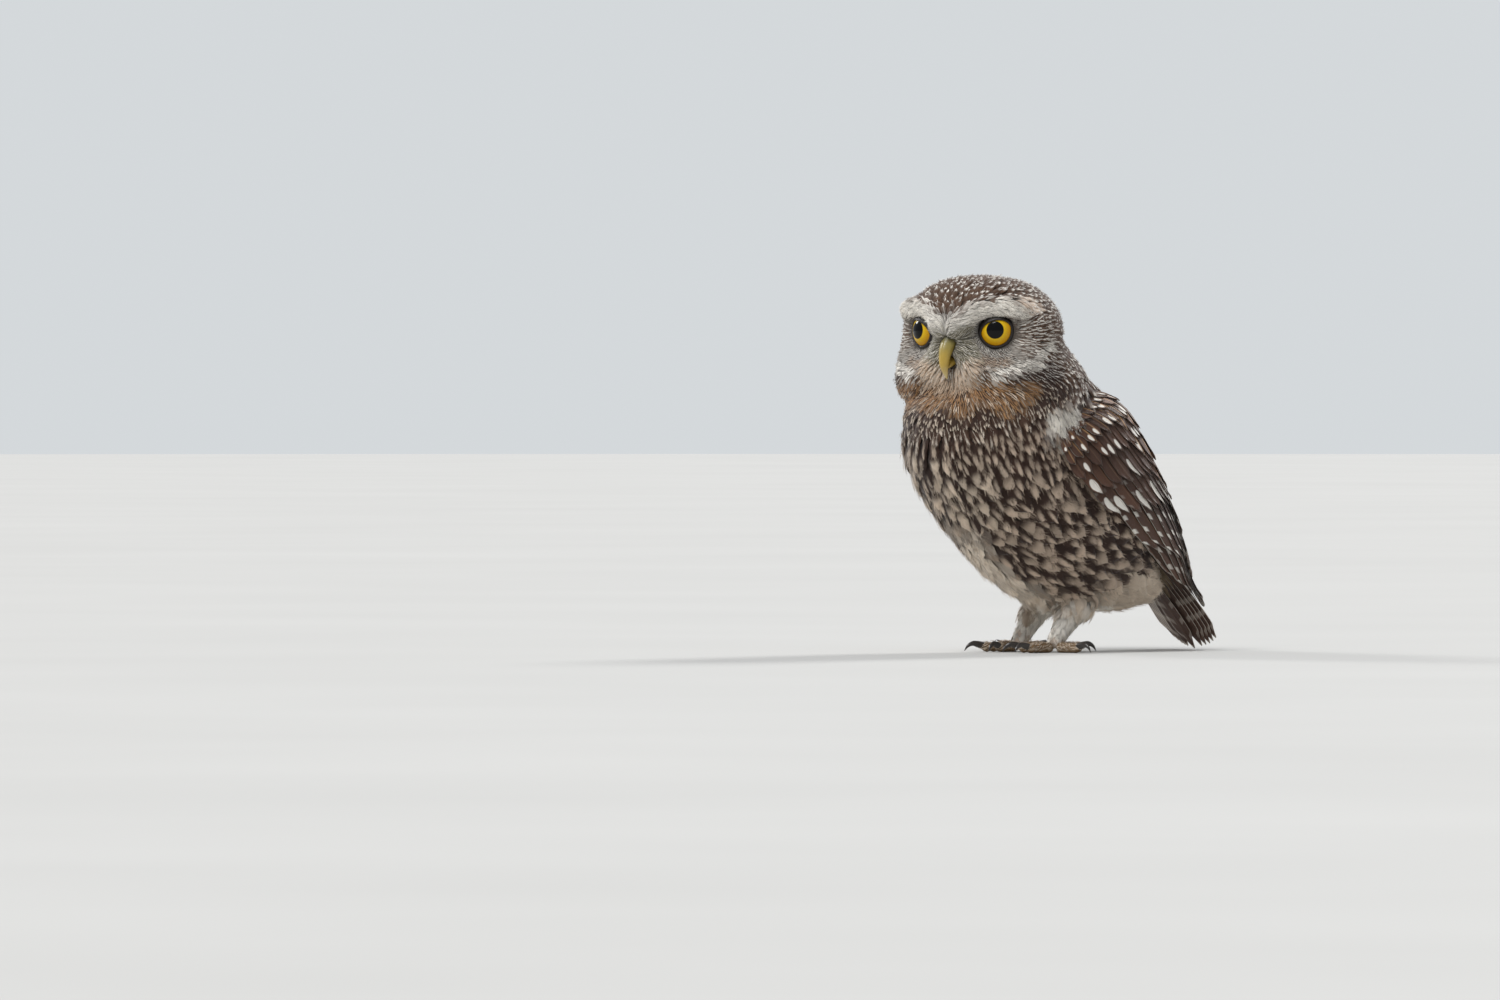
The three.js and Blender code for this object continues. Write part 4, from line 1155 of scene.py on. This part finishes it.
def flight_material(name, bar_start):
    """A large feather: barbs, shaft, marks that start this far from the shaft, ovals and a pale rim, with
    painted shade towards its root.
    """
    sheet = Sheet(name)
    across, along = sheet.vane()
    off = abs(across * 2 - 1)
    bars, oval, rim = sheet.parts(sheet.attribute("pattern", "Vector"))
    barbs = sheet.noise(sheet.joined(across * 3.0, along * 70 - off * 22), 1.4, 1)
    soft = barbs - 0.5
    ground = sheet.attribute("ground", "Color")
    mark = sheet.attribute("mark", "Color")
    wave = (along * 30 + off * 1.5).math("SINE")
    outer = off if bar_start < 0.5 else across
    barred = (wave + soft * 0.5).rise(0.35, 0.75) * (outer + soft * 0.2).rise(bar_start, bar_start + 0.12)
    barred = barred * bars.rise(0.05, 0.9) * along.rise(0.2, 0.35)
    lobe = ((across - 0.63) * 3.4) ** 2 + ((along - 0.8) * 4.2) ** 2
    ovals = (lobe + soft * 0.25 - oval).rise(0.1, -0.1) * oval.rise(0.1, 0.2)
    rims = (across + soft * 0.06).rise(0.93, 0.98) * rim
    tip = (along + soft * 0.05).rise(0.955, 0.99) * rim
    mask = barred.math("MAXIMUM", ovals).math("MAXIMUM", rims).math("MAXIMUM", tip)
    painted = sheet.mix(mask, ground, mark)
    streaked = off.within(0.09, 0.05) * (bars * -1).rise(0.0, 0.8) * along.rise(0.2, 0.5)
    painted = sheet.mix(streaked, painted, tint("c79a63"))
    painted = sheet.mix(off.within(0.03, 0.02) * 0.5, painted, tint("8a6a4c"))
    # Painted shade: darker towards the feather's root, where the feathers over it would shade it, with a
    # flicker from its barbs
    painted_root_shade = 0.62 + 0.38 * along.rise(0.2, 0.75) + soft * 0.35
    sheen = {"Sheen_Weight": 0.12, "Specular_IOR_Level": 0.3}
    return sheet.finish(sheet.shaded(painted, painted_root_shade), 0.6, barbs, BARB_BUMP, **sheen)


def wing_feathers(mirror, side):
    """All the feathers of one wing."""
    rng = np.random.default_rng(WING_SEED)
    c = colours()
    made = Coat(f"wing_feathers_{side}")
    for name, t in WING_TIERS.items():
        flat, faces, under = closed_vane(8, 16 if name in LONG_TIERS else 9)
        across, along = 2 * flat[:, 0] - 1, flat[:, 1]
        share = np.linspace(0, 1, t["count"])
        roots, tips = (spline(t[key], share) for key in ("roots", "tips"))
        tips = roots + (tips - roots) * rng.uniform(0.93, 1.06, (t["count"], 1))
        tips[:, 0] += rng.normal(0, 0.008, t["count"])
        points = []
        for i in range(t["count"]):
            lift = t["rise"][1] + t["stack"] * (0.5 - share[i]) + rng.normal(0, 0.08)
            half = t["half"] * rng.uniform(0.92, 1.08)
            jag = rng.normal(0, 0.012, len(flat)) * (np.abs(across) > 0.99)
            edge = across * (1 + jag * 2)
            rise = (t["rise"][0], lift)
            p = vane_places(wing_over, roots[i], tips[i], half, rise, t["tilt"], edge, along + jag)
            out = wing_normal(along * 0 + np.clip(roots[i][0], 0, 1), along * 0 + roots[i][1])
            points.append(p - out * (under * VANE_THICK)[:, None])
        points = np.stack(points)
        points[..., 0] = np.maximum(points[..., 0], WING_GAP)
        if mirror < 0:
            points[..., 0] *= -1
            faces = faces[:, ::-1]
        redder = rng.uniform(0.1, 0.6, (t["count"], 1))
        ground = lerp(c[t["hue"]], c["rufous"], redder) * rng.uniform(0.75, 1.2, (t["count"], 1))
        pattern = np.array([t["bars"], t["oval"], t["rim"]]) * rng.uniform(0.7, 1.25, (t["count"], 3))
        pattern[:, 1] *= rng.random(t["count"]) < t["chance"]
        marks = {"ground": ground, "mark": np.tile(c["white"], (t["count"], 1)), "pattern": pattern}
        spots = np.clip(roots, 0.03, 0.97) * (1, 0.9)
        made.add(points, faces, flat, spots, WING_PATCH, marks)
    return made


def slab(across, along, place):
    """A closed slab bent from a flat box: place takes across, along and layer."""
    bm = grid(across, along)
    top = bmesh.ops.extrude_face_region(bm, geom=list(bm.faces))["geom"]
    lifted = [v for v in top if isinstance(v, bmesh.types.BMVert)]
    bmesh.ops.translate(bm, verts=lifted, vec=(0, 0, 1))
    return bent(bm, lambda p: place(*p.T))


def wing_core(mirror):
    """The wing under its feathers."""

    def place(u, v, layer):
        v = v * 0.86
        depth = 2.2 + 9 * (1 - v) ** 1.1
        sunk = 0.6 + 1.2 * ramp(v, 0.05, 0.25)
        p = wing_over(lerp(0.06, 0.93, u), v, u * 0, -np.where(layer > 0.5, depth, sunk))
        p[:, 0] = np.maximum(p[:, 0], 0.5) * mirror
        return p

    return slab(10, 24, place)


class OWL_OT_wings(bpy.types.Operator):
    """Make both folded wings, feather by feather"""

    bl_idname = "owl.wings"
    bl_label = "Wings"

    def execute(self, context):
        material = flight_material("wing_plumage", 0.74)
        down = speckled("wing_down", 700, tint("2c1d15"), tint("4a3325"), 0.9, 0.0003)
        for mirror, side in SIDES:
            wing_feathers(mirror, side).build(material, "wing_feathers", f"wing_{side}")
            mesh = mesh_of(wing_core(mirror), f"wing_core_{side}")
            piece(f"wing_core_{side}", mesh, down, "wing_feathers", f"wing_{side}")
        return {"FINISHED"}


# Tail
TAIL_ROOT = at(0, -51, 59)
TAIL_TIP = at(0, -97.5, 2.1)
TAIL_LENGTH = np.linalg.norm(TAIL_TIP - TAIL_ROOT)
TAIL_DOWN = unit(TAIL_TIP - TAIL_ROOT)
TAIL_UP = np.cross(TAIL_DOWN, LEFT)
TAIL_HALF_WIDTH = 22
TAIL_ARCH = 4.5
TAIL_VANE_HALF = 5.4
TAIL_STEP = 0.68
TAIL_THICK = 0.3
TAIL_PATCH = 0.05
TAIL_FLOOR = 0.15  # the lowest that the tail's feathers reach


def tail_over(aside, along, sideways, height):
    """A place over the tail's plane."""
    spread = np.broadcast_arrays(aside, along, sideways, height)
    aside, along, sideways, height = (v[..., None] for v in spread)
    return TAIL_ROOT + LEFT * (aside + sideways) + TAIL_DOWN * along * TAIL_LENGTH + TAIL_UP * height


class OWL_OT_tail(bpy.types.Operator):
    """Make the tail's twelve feathers and the core that they spring from"""

    bl_idname = "owl.tail"
    bl_label = "Tail"

    def execute(self, context):
        rng = np.random.default_rng(WING_SEED)
        c = colours()
        made = Coat("tail_feathers")
        flat, faces, under = closed_vane(8, 18)
        across, along = 2 * flat[:, 0] - 1, flat[:, 1]
        for pair in range(6):
            for mirror in (1, -1):
                outwards = (pair - 1) / 4
                reach = lerp(TAIL_VANE_HALF + 0.3, TAIL_HALF_WIDTH - TAIL_VANE_HALF, outwards)
                side = mirror * (reach if pair else 0.8)
                below = pair + 1 if pair else (1 - mirror) / 2
                level = TAIL_ARCH / 2 - TAIL_STEP * below
                length = (1 - 0.045 * max(0, outwards) ** 2) * rng.uniform(0.99, 1.0)
                root, tip, rise = (side * 0.8, 0.35), (side, length), (level, level + 0.3)
                p = vane_places(tail_over, root, tip, TAIL_VANE_HALF, rise, 0, across, along)
                p = p - TAIL_UP * (under * TAIL_THICK)[:, None]
                p[:, 2] = np.maximum(p[:, 2], TAIL_FLOOR)
                marks = {
                    "ground": lerp(c["wing"], c["rufous"], 0.3)[None] * rng.uniform(0.8, 1.1),
                    "mark": lerp(c["white"], c["buff"], 0.25)[None],
                    "pattern": np.array([[0.38, 0.0, 1.0]]),
                }
                shown = np.stack([1 - flat[:, 0], flat[:, 1]], 1) if mirror < 0 else flat
                spots = np.array([[0.5 + side / 60, 0.2 + 0.05 * pair]])
                made.add(p[None], faces, shown, spots, TAIL_PATCH, marks)
        made.build(flight_material("tail_plumage", 0.3), "tail_feathers", "tail")

        def place(u, v, layer):
            half = np.where(layer > 0.5, 19, 7) * (1 - 0.3 * v)
            height = np.where(layer > 0.5, -2.2, 2.3) * (1 - 0.4 * v)
            return tail_over((2 * u - 1) * half, lerp(0.2, 0.58, v), 0, height)

        down = speckled("tail_down", 700, tint("5a4a38"), tint("8d7d66"), 0.9, 0.0003)
        piece("tail_core", mesh_of(slab(8, 6, place), "tail_core"), down, "tail_feathers", "tail")
        return {"FINISHED"}


# Eyes, lids and bill
PUPIL_R = 4.2
PUPIL_UP = 0.3
EYE_WET = {"Specular_IOR_Level": 0.1, "Coat_Weight": 0.3, "Coat_Roughness": 0.02, "Coat_IOR": 1.35}
EYE_BACK = EYE_R * math.cos(math.radians(76))  # where the eyeball is cut off behind


class OWL_OT_eyes(bpy.types.Operator):
    """Make the eyeballs with iris and pupil, and the lids about them"""

    bl_idname = "owl.eyes"
    bl_label = "Eyes"

    def execute(self, context):
        c = colours()
        sheet = Sheet("eyeball")
        x, y, _ = sheet.parts(sheet.attribute("eye", "Vector"))
        r = (x**2 + (y - PUPIL_UP) ** 2) ** 0.5
        angle = y.math("ARCTAN2", x)
        fibres = sheet.noise(sheet.joined(angle * 9, r * 0.6), 2.2, 3)
        iris = sheet.mix(r.rise(PUPIL_R, 7.4), c["iris"] * (1.0, 1.08, 1.3), c["iris"] * (0.86, 0.7, 0.6))
        iris = sheet.shaded(iris, 0.78 + 0.42 * fibres)
        iris = sheet.mix(r.rise(6.9, 7.7), iris, tint("2a1608"))
        colour = sheet.mix(r.rise(PUPIL_R + 0.15, PUPIL_R - 0.15), iris, (0.003, 0.003, 0.003))
        wet = sheet.finish(colour, 0.15, **EYE_WET)
        dark = speckled("lid_skin", 2500, tint("0f0a08"), tint("221914"), 0.45, 0.00015)
        for mirror, side in SIDES:
            axis, middle = eye_axis(mirror), eye_middle(mirror)
            across = unit(np.cross((0, 1, 0), axis))
            turn = np.array([across, (0, 1, 0), axis])

            def place(p):
                return from_head(p @ turn + middle)

            bm = bmesh.new()
            bmesh.ops.create_uvsphere(bm, u_segments=48, v_segments=40, radius=EYE_R)
            cut = [*bm.verts, *bm.edges, *bm.faces]
            plane = {"plane_co": (0, 0, EYE_BACK), "plane_no": (0, 0, 1)}
            bmesh.ops.bisect_plane(bm, geom=cut, clear_inner=True, **plane)
            bmesh.ops.holes_fill(bm, edges=[e for e in bm.edges if e.is_boundary])
            bmesh.ops.remove_doubles(bm, verts=bm.verts, dist=1e-4)
            local = np.array([v.co for v in bm.verts])
            bent(bm, place)
            mesh = mesh_of(bm, f"eyeball_{side}")
            keep_vectors(mesh, "eye", local)
            piece(f"eyeball_{side}", mesh, wet, "eyes", f"eye_{side}")
            mesh = mesh_of(bent(lids(mirror), place), f"lids_{side}")
            piece(f"lids_{side}", mesh, dark, "head_feathers")
        return {"FINISHED"}


# The lid's section, as [from the eye's axis, ahead of the eye's middle]
LID_PROFILE = [
    (8.9, 3.7), (8.0, 5.35), (7.3, 6.2), (7.35, 6.5),
    (7.7, 6.6), (8.2, 6.3), (8.7, 5.6), (9.1, 4.2),
]
UPPER_LID_DROP = 2.8
LID_SLANT = math.radians(18)


def lids(mirror):
    """A rim about the eye, spun from a profile, whose upper inner part comes down over the iris."""
    bm = bmesh.new()
    verts = [bm.verts.new((r, 0, z)) for r, z in LID_PROFILE]
    for a, b in zip(verts, verts[1:]):
        bm.edges.new((a, b))
    turn = {"cent": (0, 0, 0), "axis": (0, 0, 1), "angle": 2 * math.pi, "steps": 56}
    bmesh.ops.spin(bm, geom=[*bm.verts, *bm.edges], use_merge=True, **turn)
    bmesh.ops.subdivide_edges(bm, edges=bm.edges[:], cuts=1, smooth=0.6, use_grid_fill=True)

    def place(p):
        r = np.hypot(p[:, 0], p[:, 1])
        high = p[:, 1] * math.cos(LID_SLANT) - mirror * p[:, 0] * math.sin(LID_SLANT)
        high = np.clip(high / r, 0, 1) ** 1.3
        inner = 1 - ramp(r, 7.6, 9.6)
        shrunk = r - UPPER_LID_DROP * high * inner
        ball = [np.sqrt(np.maximum(EYE_R**2 - v**2, 0)) for v in (shrunk, r)]
        lift = (ball[0] - ball[1]) * inner
        return np.stack([p[:, 0] * shrunk / r, p[:, 1] * shrunk / r, p[:, 2] + lift], 1)

    return bent(bm, place)


# The bills' middle lines, as [share of the length down, ahead], and their radii [aside, ahead]
UPPER_BILL = [(0, -7), (0.07, -1), (0.34, 3.7), (0.69, 4.8), (1, 2.2)]
UPPER_BILL_R = [(4.2, 4.0), (4.0, 3.8), (3.3, 3.1), (2.2, 2.1), (0.25, 0.3)]
LOWER_BILL = [(0.5, -7), (0.6, -1.4), (0.72, 1.2)]
LOWER_BILL_R = [(3.4, 2.2), (2.8, 1.7), (1.1, 0.6)]
KEEL = 0.28


def bill_point(down, fore):
    """A place on the bill's middle plane."""
    return from_head(BILL_TOP + (0, -down * BILL_LENGTH, fore))


class OWL_OT_bill(bpy.types.Operator):
    """Make the hooked upper bill and the lower bill under it"""

    bl_idname = "owl.bill"
    bl_label = "Bill"

    def execute(self, context):
        c = colours()
        sheet = Sheet("horn")
        _, _, z = sheet.parts(sheet.place())
        top = float(bill_point(0, 0)[2]) * MM
        down = (top - z) / (BILL_LENGTH * MM)
        cloud = sheet.noise(sheet.place(), 260, 3)
        fine = sheet.noise(sheet.place(), 1800, 2)
        colour = sheet.mix((down + cloud * 0.3).rise(0.25, 0.75), tint("8d8043"), c["bill"])
        colour = sheet.mix((down + cloud * 0.25).rise(0.75, 1.1), colour, tint("d8c48a"))
        colour = sheet.mix((down - cloud * 0.2).rise(0.08, -0.12), colour, tint("5b5a48"))
        material = sheet.finish(colour, 0.34 + 0.2 * fine, fine, 0.00004, Coat_Weight=0.15)

        def ridged(x, y):
            return x * (1 - KEEL * np.clip(-y, 0, 1) ** 2), y

        upper = horn([bill_point(*p) for p in UPPER_BILL], UPPER_BILL_R, HEAD_X, 36, 40, ridged)
        lower = horn([bill_point(*p) for p in LOWER_BILL], LOWER_BILL_R, HEAD_X, 28, 18)
        for rod, node in ((upper, "bill_upper"), (lower, "bill_lower")):
            piece(f"{node}_horn", mesh_of(capped(rod), f"{node}_horn"), material, "bill", node)
        return {"FINISHED"}


def capped(bm):
    """Joins a rod's seam and closes its ends."""
    bmesh.ops.remove_doubles(bm, verts=bm.verts, dist=1e-3)
    bmesh.ops.holes_fill(bm, edges=[e for e in bm.edges if e.is_boundary])
    return bm


# Feet
FOOT = at(14.5, -1, 0)
TOES = {
    "inner": dict(heading=-20, length=13, claw=8.5),
    "middle": dict(heading=12, length=15, claw=9),
    "outer": dict(heading=96, length=12.5, claw=8.5),
    "hind": dict(heading=172, length=10, claw=8),
}
TOE_START = 4.6
TOE_UP = 2.45
TOE_SKIN_R = 2.6
TOE_BULGES = (0.9, 1.0, 0.88, 1.05, 0.88, 1.08, 0.92, 1.12, 0.95, 0.2)
TOE_TAPER = 0.2
TOE_FLOOR = 0.02  # the lowest that a toe reaches
CLAW_R = [(1.5, 1.75), (1.35, 1.6), (1.05, 1.2), (0.65, 0.75), (0.12, 0.14)]
BRISTLES = dict(length=3.4, half=0.2, spacing=0.95, streak=0.0, spot=0.0, reach=0.3)
BRISTLE_DEPTH = 0.7
BRISTLE_TRIES = 9000


class OWL_OT_feet(bpy.types.Operator):
    """Make the scaly toes, their bristles and the claws"""

    bl_idname = "owl.feet"
    bl_label = "Feet"

    def execute(self, context):
        c = colours()
        rng = np.random.default_rng(COAT_SEED)
        plumage_material = bpy.data.materials["plumage"]
        sheet = Sheet("toe_skin")
        cells = {"Vector": sheet.place(), "Scale": 1500}
        scales = sheet.node("ShaderNodeTexVoronoi", {"feature": "DISTANCE_TO_EDGE"}, cells)
        cloud = sheet.noise(sheet.place(), 350, 3)
        colour = sheet.mix(cloud, c["toe"] * 0.6, c["toe"] * 1.15)
        colour = sheet.mix(scales.rise(0.1, 0.0) * 0.7, colour, c["toe"] * 0.4)
        toe_skin = sheet.finish(colour, 0.55, scales.rise(0.0, 0.25), 0.0002)
        claw_horn = speckled("claw_horn", 900, c["claw"], c["claw"] * 2.4, 0.28, 0.00003, Coat_Weight=0.3)
        for mirror, side in SIDES:
            toes, claws = bmesh.new(), bmesh.new()
            for toe in TOES.values():
                heading = math.radians(toe["heading"])
                ahead = at(math.sin(heading), math.cos(heading), 0)
                flank = np.cross(ahead, UP)

                def along(distance, up):
                    return FOOT + ahead * (TOE_START + distance) + UP * up

                length, claw = toe["length"], toe["claw"]
                last = len(TOE_BULGES) - 1
                rings = [k - (k == 0) * 0.6 for k in range(last + 1)]
                line = [along((length + 0.6) * k / last, TOE_UP) for k in rings]
                radii = [(TOE_SKIN_R * (1 - TOE_TAPER * k / last) * w,) * 2 for k, w in enumerate(TOE_BULGES)]
                add_rod(toes, horn(line, radii, flank, 24, 48), TOE_FLOOR)
                line = [
                    along(length - 1.2, TOE_UP + 0.5),
                    along(length + claw * 0.22, TOE_UP + 1.2),
                    along(length + claw * 0.5, TOE_UP + 1.6),
                    along(length + claw * 0.8, TOE_UP + 0.4),
                    along(length + claw, 0.6),
                ]
                add_rod(claws, horn(line, CLAW_R, flank, 20, 28))
            for bm, name, material in ((toes, "toes", toe_skin), (claws, "claws", claw_horn)):
                if mirror < 0:
                    bmesh.ops.scale(bm, verts=bm.verts, vec=(-1, 1, 1))
                nodes = [f"{name[:-1]}_{side}_{toe}" for toe in TOES]
                piece(f"{name}_{side}", mesh_of(bm, f"{name}_{side}"), material, name, *nodes)
            skin = Skin(bpy.data.objects[f"toes_{side}"].data)
            points, normals = skin.scatter(BRISTLE_TRIES, rng)
            points, normals = picked(normals[:, 2] > -0.1, points, normals)
            kept = thinned(points, np.full(len(points), BRISTLES["spacing"]))
            points, normals = picked(kept, points, normals)
            paint = {key: np.full(len(points), value) for key, value in BRISTLES.items()}
            paint["ground"] = lerp(c["cream"], c["toe"], rng.uniform(0, 0.4, (len(points), 1)))
            paint["mark"] = paint["ground"]
            depth = np.full(len(points), BRISTLE_DEPTH)
            middle = points.mean(0) - UP * 25
            made = coat(f"bristles_{side}", skin, points, normals, paint, depth, middle, rng, 3, 1, 2)
            made.build(plumage_material, "toes")
        return {"FINISHED"}


def add_rod(whole, rod, lowest=-np.inf):
    """Adds a closed rod to a bmesh, flattened where it would dip under the lowest height."""
    bent(capped(rod), lambda p: p * (1, 1, 0) + UP * np.maximum(p[:, 2:], lowest))
    mesh = bpy.data.meshes.new("rod")
    rod.to_mesh(mesh)
    rod.free()
    whole.from_mesh(mesh)
    bpy.data.meshes.remove(mesh)


# Stage
CAMERA_AZIMUTH = math.radians(55)
CAMERA_RISE = math.radians(0.6)
MM_PER_PIXEL = 0.48
FRAME_PIXELS = 1500
FEET_PIXEL = (1035, 652)
FRAME_MIDDLE = (750, 500)
LENS = 0.3
SENSOR = 0.036
FLOOR_R = 14
GLOW = (0.88, 0.92, 1.0, 1)
GLOW_STRENGTH = 0.4
WALL = (0.66, 0.69, 0.71, 1)
# Each sun: where it shines from as [right, towards the camera, up], its width and its strength
SUNS = {
    "key": ((-0.75, 0.9, 1.7), 24, 2.1),
    "rim_right": ((0.8, -1.1, 0.9), 16, 1.8),
    "rim_left": ((-1.2, -1, 0.8), 16, 1.1),
}


class OWL_OT_stage(bpy.types.Operator):
    """Set the floor, lights and camera"""

    bl_idname = "owl.stage"
    bl_label = "Stage"

    def execute(self, context):
        scene = context.scene
        right = np.array([math.cos(CAMERA_AZIMUTH), math.sin(CAMERA_AZIMUTH), 0])
        back = np.array([math.sin(CAMERA_AZIMUTH), -math.cos(CAMERA_AZIMUTH), 0])
        aim = right * (FRAME_MIDDLE[0] - FEET_PIXEL[0]) + UP * (FEET_PIXEL[1] - FRAME_MIDDLE[1])
        aim = to_row(aim * MM_PER_PIXEL)
        distance = LENS / SENSOR * FRAME_PIXELS * MM_PER_PIXEL * MM
        lens = bpy.data.cameras.new("camera")
        lens.lens = LENS * 1000
        lens.sensor_width = SENSOR * 1000
        lens.clip_end = 100
        camera = added("camera", lens)
        away = back * math.cos(CAMERA_RISE) + UP * math.sin(CAMERA_RISE)
        camera.location = Vector(aim + away * distance)
        camera.rotation_euler = Vector(-away).to_track_quat("-Z", "Y").to_euler()
        scene.camera = camera
        bm = bmesh.new()
        bmesh.ops.create_circle(bm, cap_ends=True, segments=96, radius=FLOOR_R)
        mesh = bpy.data.meshes.new("floor")
        bm.to_mesh(mesh)
        bm.free()
        floor = added("floor", mesh)
        sheet = Sheet("floor")
        cloud = sheet.noise(sheet.place(), 3, 2)
        mesh.materials.append(sheet.finish(sheet.mix(cloud, tint("bdbcb8"), tint("c6c5c1")), 0.7))
        world = bpy.data.worlds.new("studio")
        scene.world = world
        world.use_nodes = True
        nodes, links = world.node_tree.nodes, world.node_tree.links
        glow = nodes["Background"]
        glow.inputs["Color"].default_value = GLOW
        glow.inputs["Strength"].default_value = GLOW_STRENGTH
        wall = nodes.new("ShaderNodeBackground")
        wall.inputs["Color"].default_value = WALL
        seen = nodes.new("ShaderNodeLightPath")
        both = nodes.new("ShaderNodeMixShader")
        links.new(seen.outputs["Is Camera Ray"], both.inputs[0])
        links.new(glow.outputs[0], both.inputs[1])
        links.new(wall.outputs[0], both.inputs[2])
        links.new(both.outputs[0], nodes["World Output"].inputs["Surface"])
        for name, (weights, spread, power) in SUNS.items():
            offset = weights @ np.array([right, back, UP])
            lamp = bpy.data.lights.new(name, "SUN")
            lamp.angle = math.radians(spread)
            lamp.energy = power
            added(name, lamp).rotation_euler = Vector(-offset).to_track_quat("-Z", "Y").to_euler()
        scene.view_settings.view_transform = "Standard"
        return {"FINISHED"}


STEPS = (
    OWL_OT_skin, OWL_OT_coat, OWL_OT_wings, OWL_OT_tail,
    OWL_OT_eyes, OWL_OT_bill, OWL_OT_feet, OWL_OT_stage,
)


class OWL_PT_panel(bpy.types.Panel):
    """The owl's sizes, colours and steps"""

    bl_label = "Little owl"
    bl_space_type = "VIEW_3D"
    bl_region_type = "UI"
    bl_category = "Owl"

    def draw(self, context):
        for group in (context.scene.owl_sizes, context.scene.owl_colours):
            for key in type(group).__annotations__:
                self.layout.prop(group, key)
        for step in STEPS:
            self.layout.operator(step.bl_idname)


def register():
    for group in (OwlSizes, OwlColours, *STEPS, OWL_PT_panel):
        bpy.utils.register_class(group)
    bpy.types.Scene.owl_sizes = bpy.props.PointerProperty(type=OwlSizes)
    bpy.types.Scene.owl_colours = bpy.props.PointerProperty(type=OwlColours)


def unregister():
    del bpy.types.Scene.owl_colours
    del bpy.types.Scene.owl_sizes
    for group in reversed((OwlSizes, OwlColours, *STEPS, OWL_PT_panel)):
        bpy.utils.unregister_class(group)


def main():
    register()
    for step in STEPS:
        area, name = step.bl_idname.split(".")
        getattr(getattr(bpy.ops, area), name)()


if __name__ == "__main__":
    main()
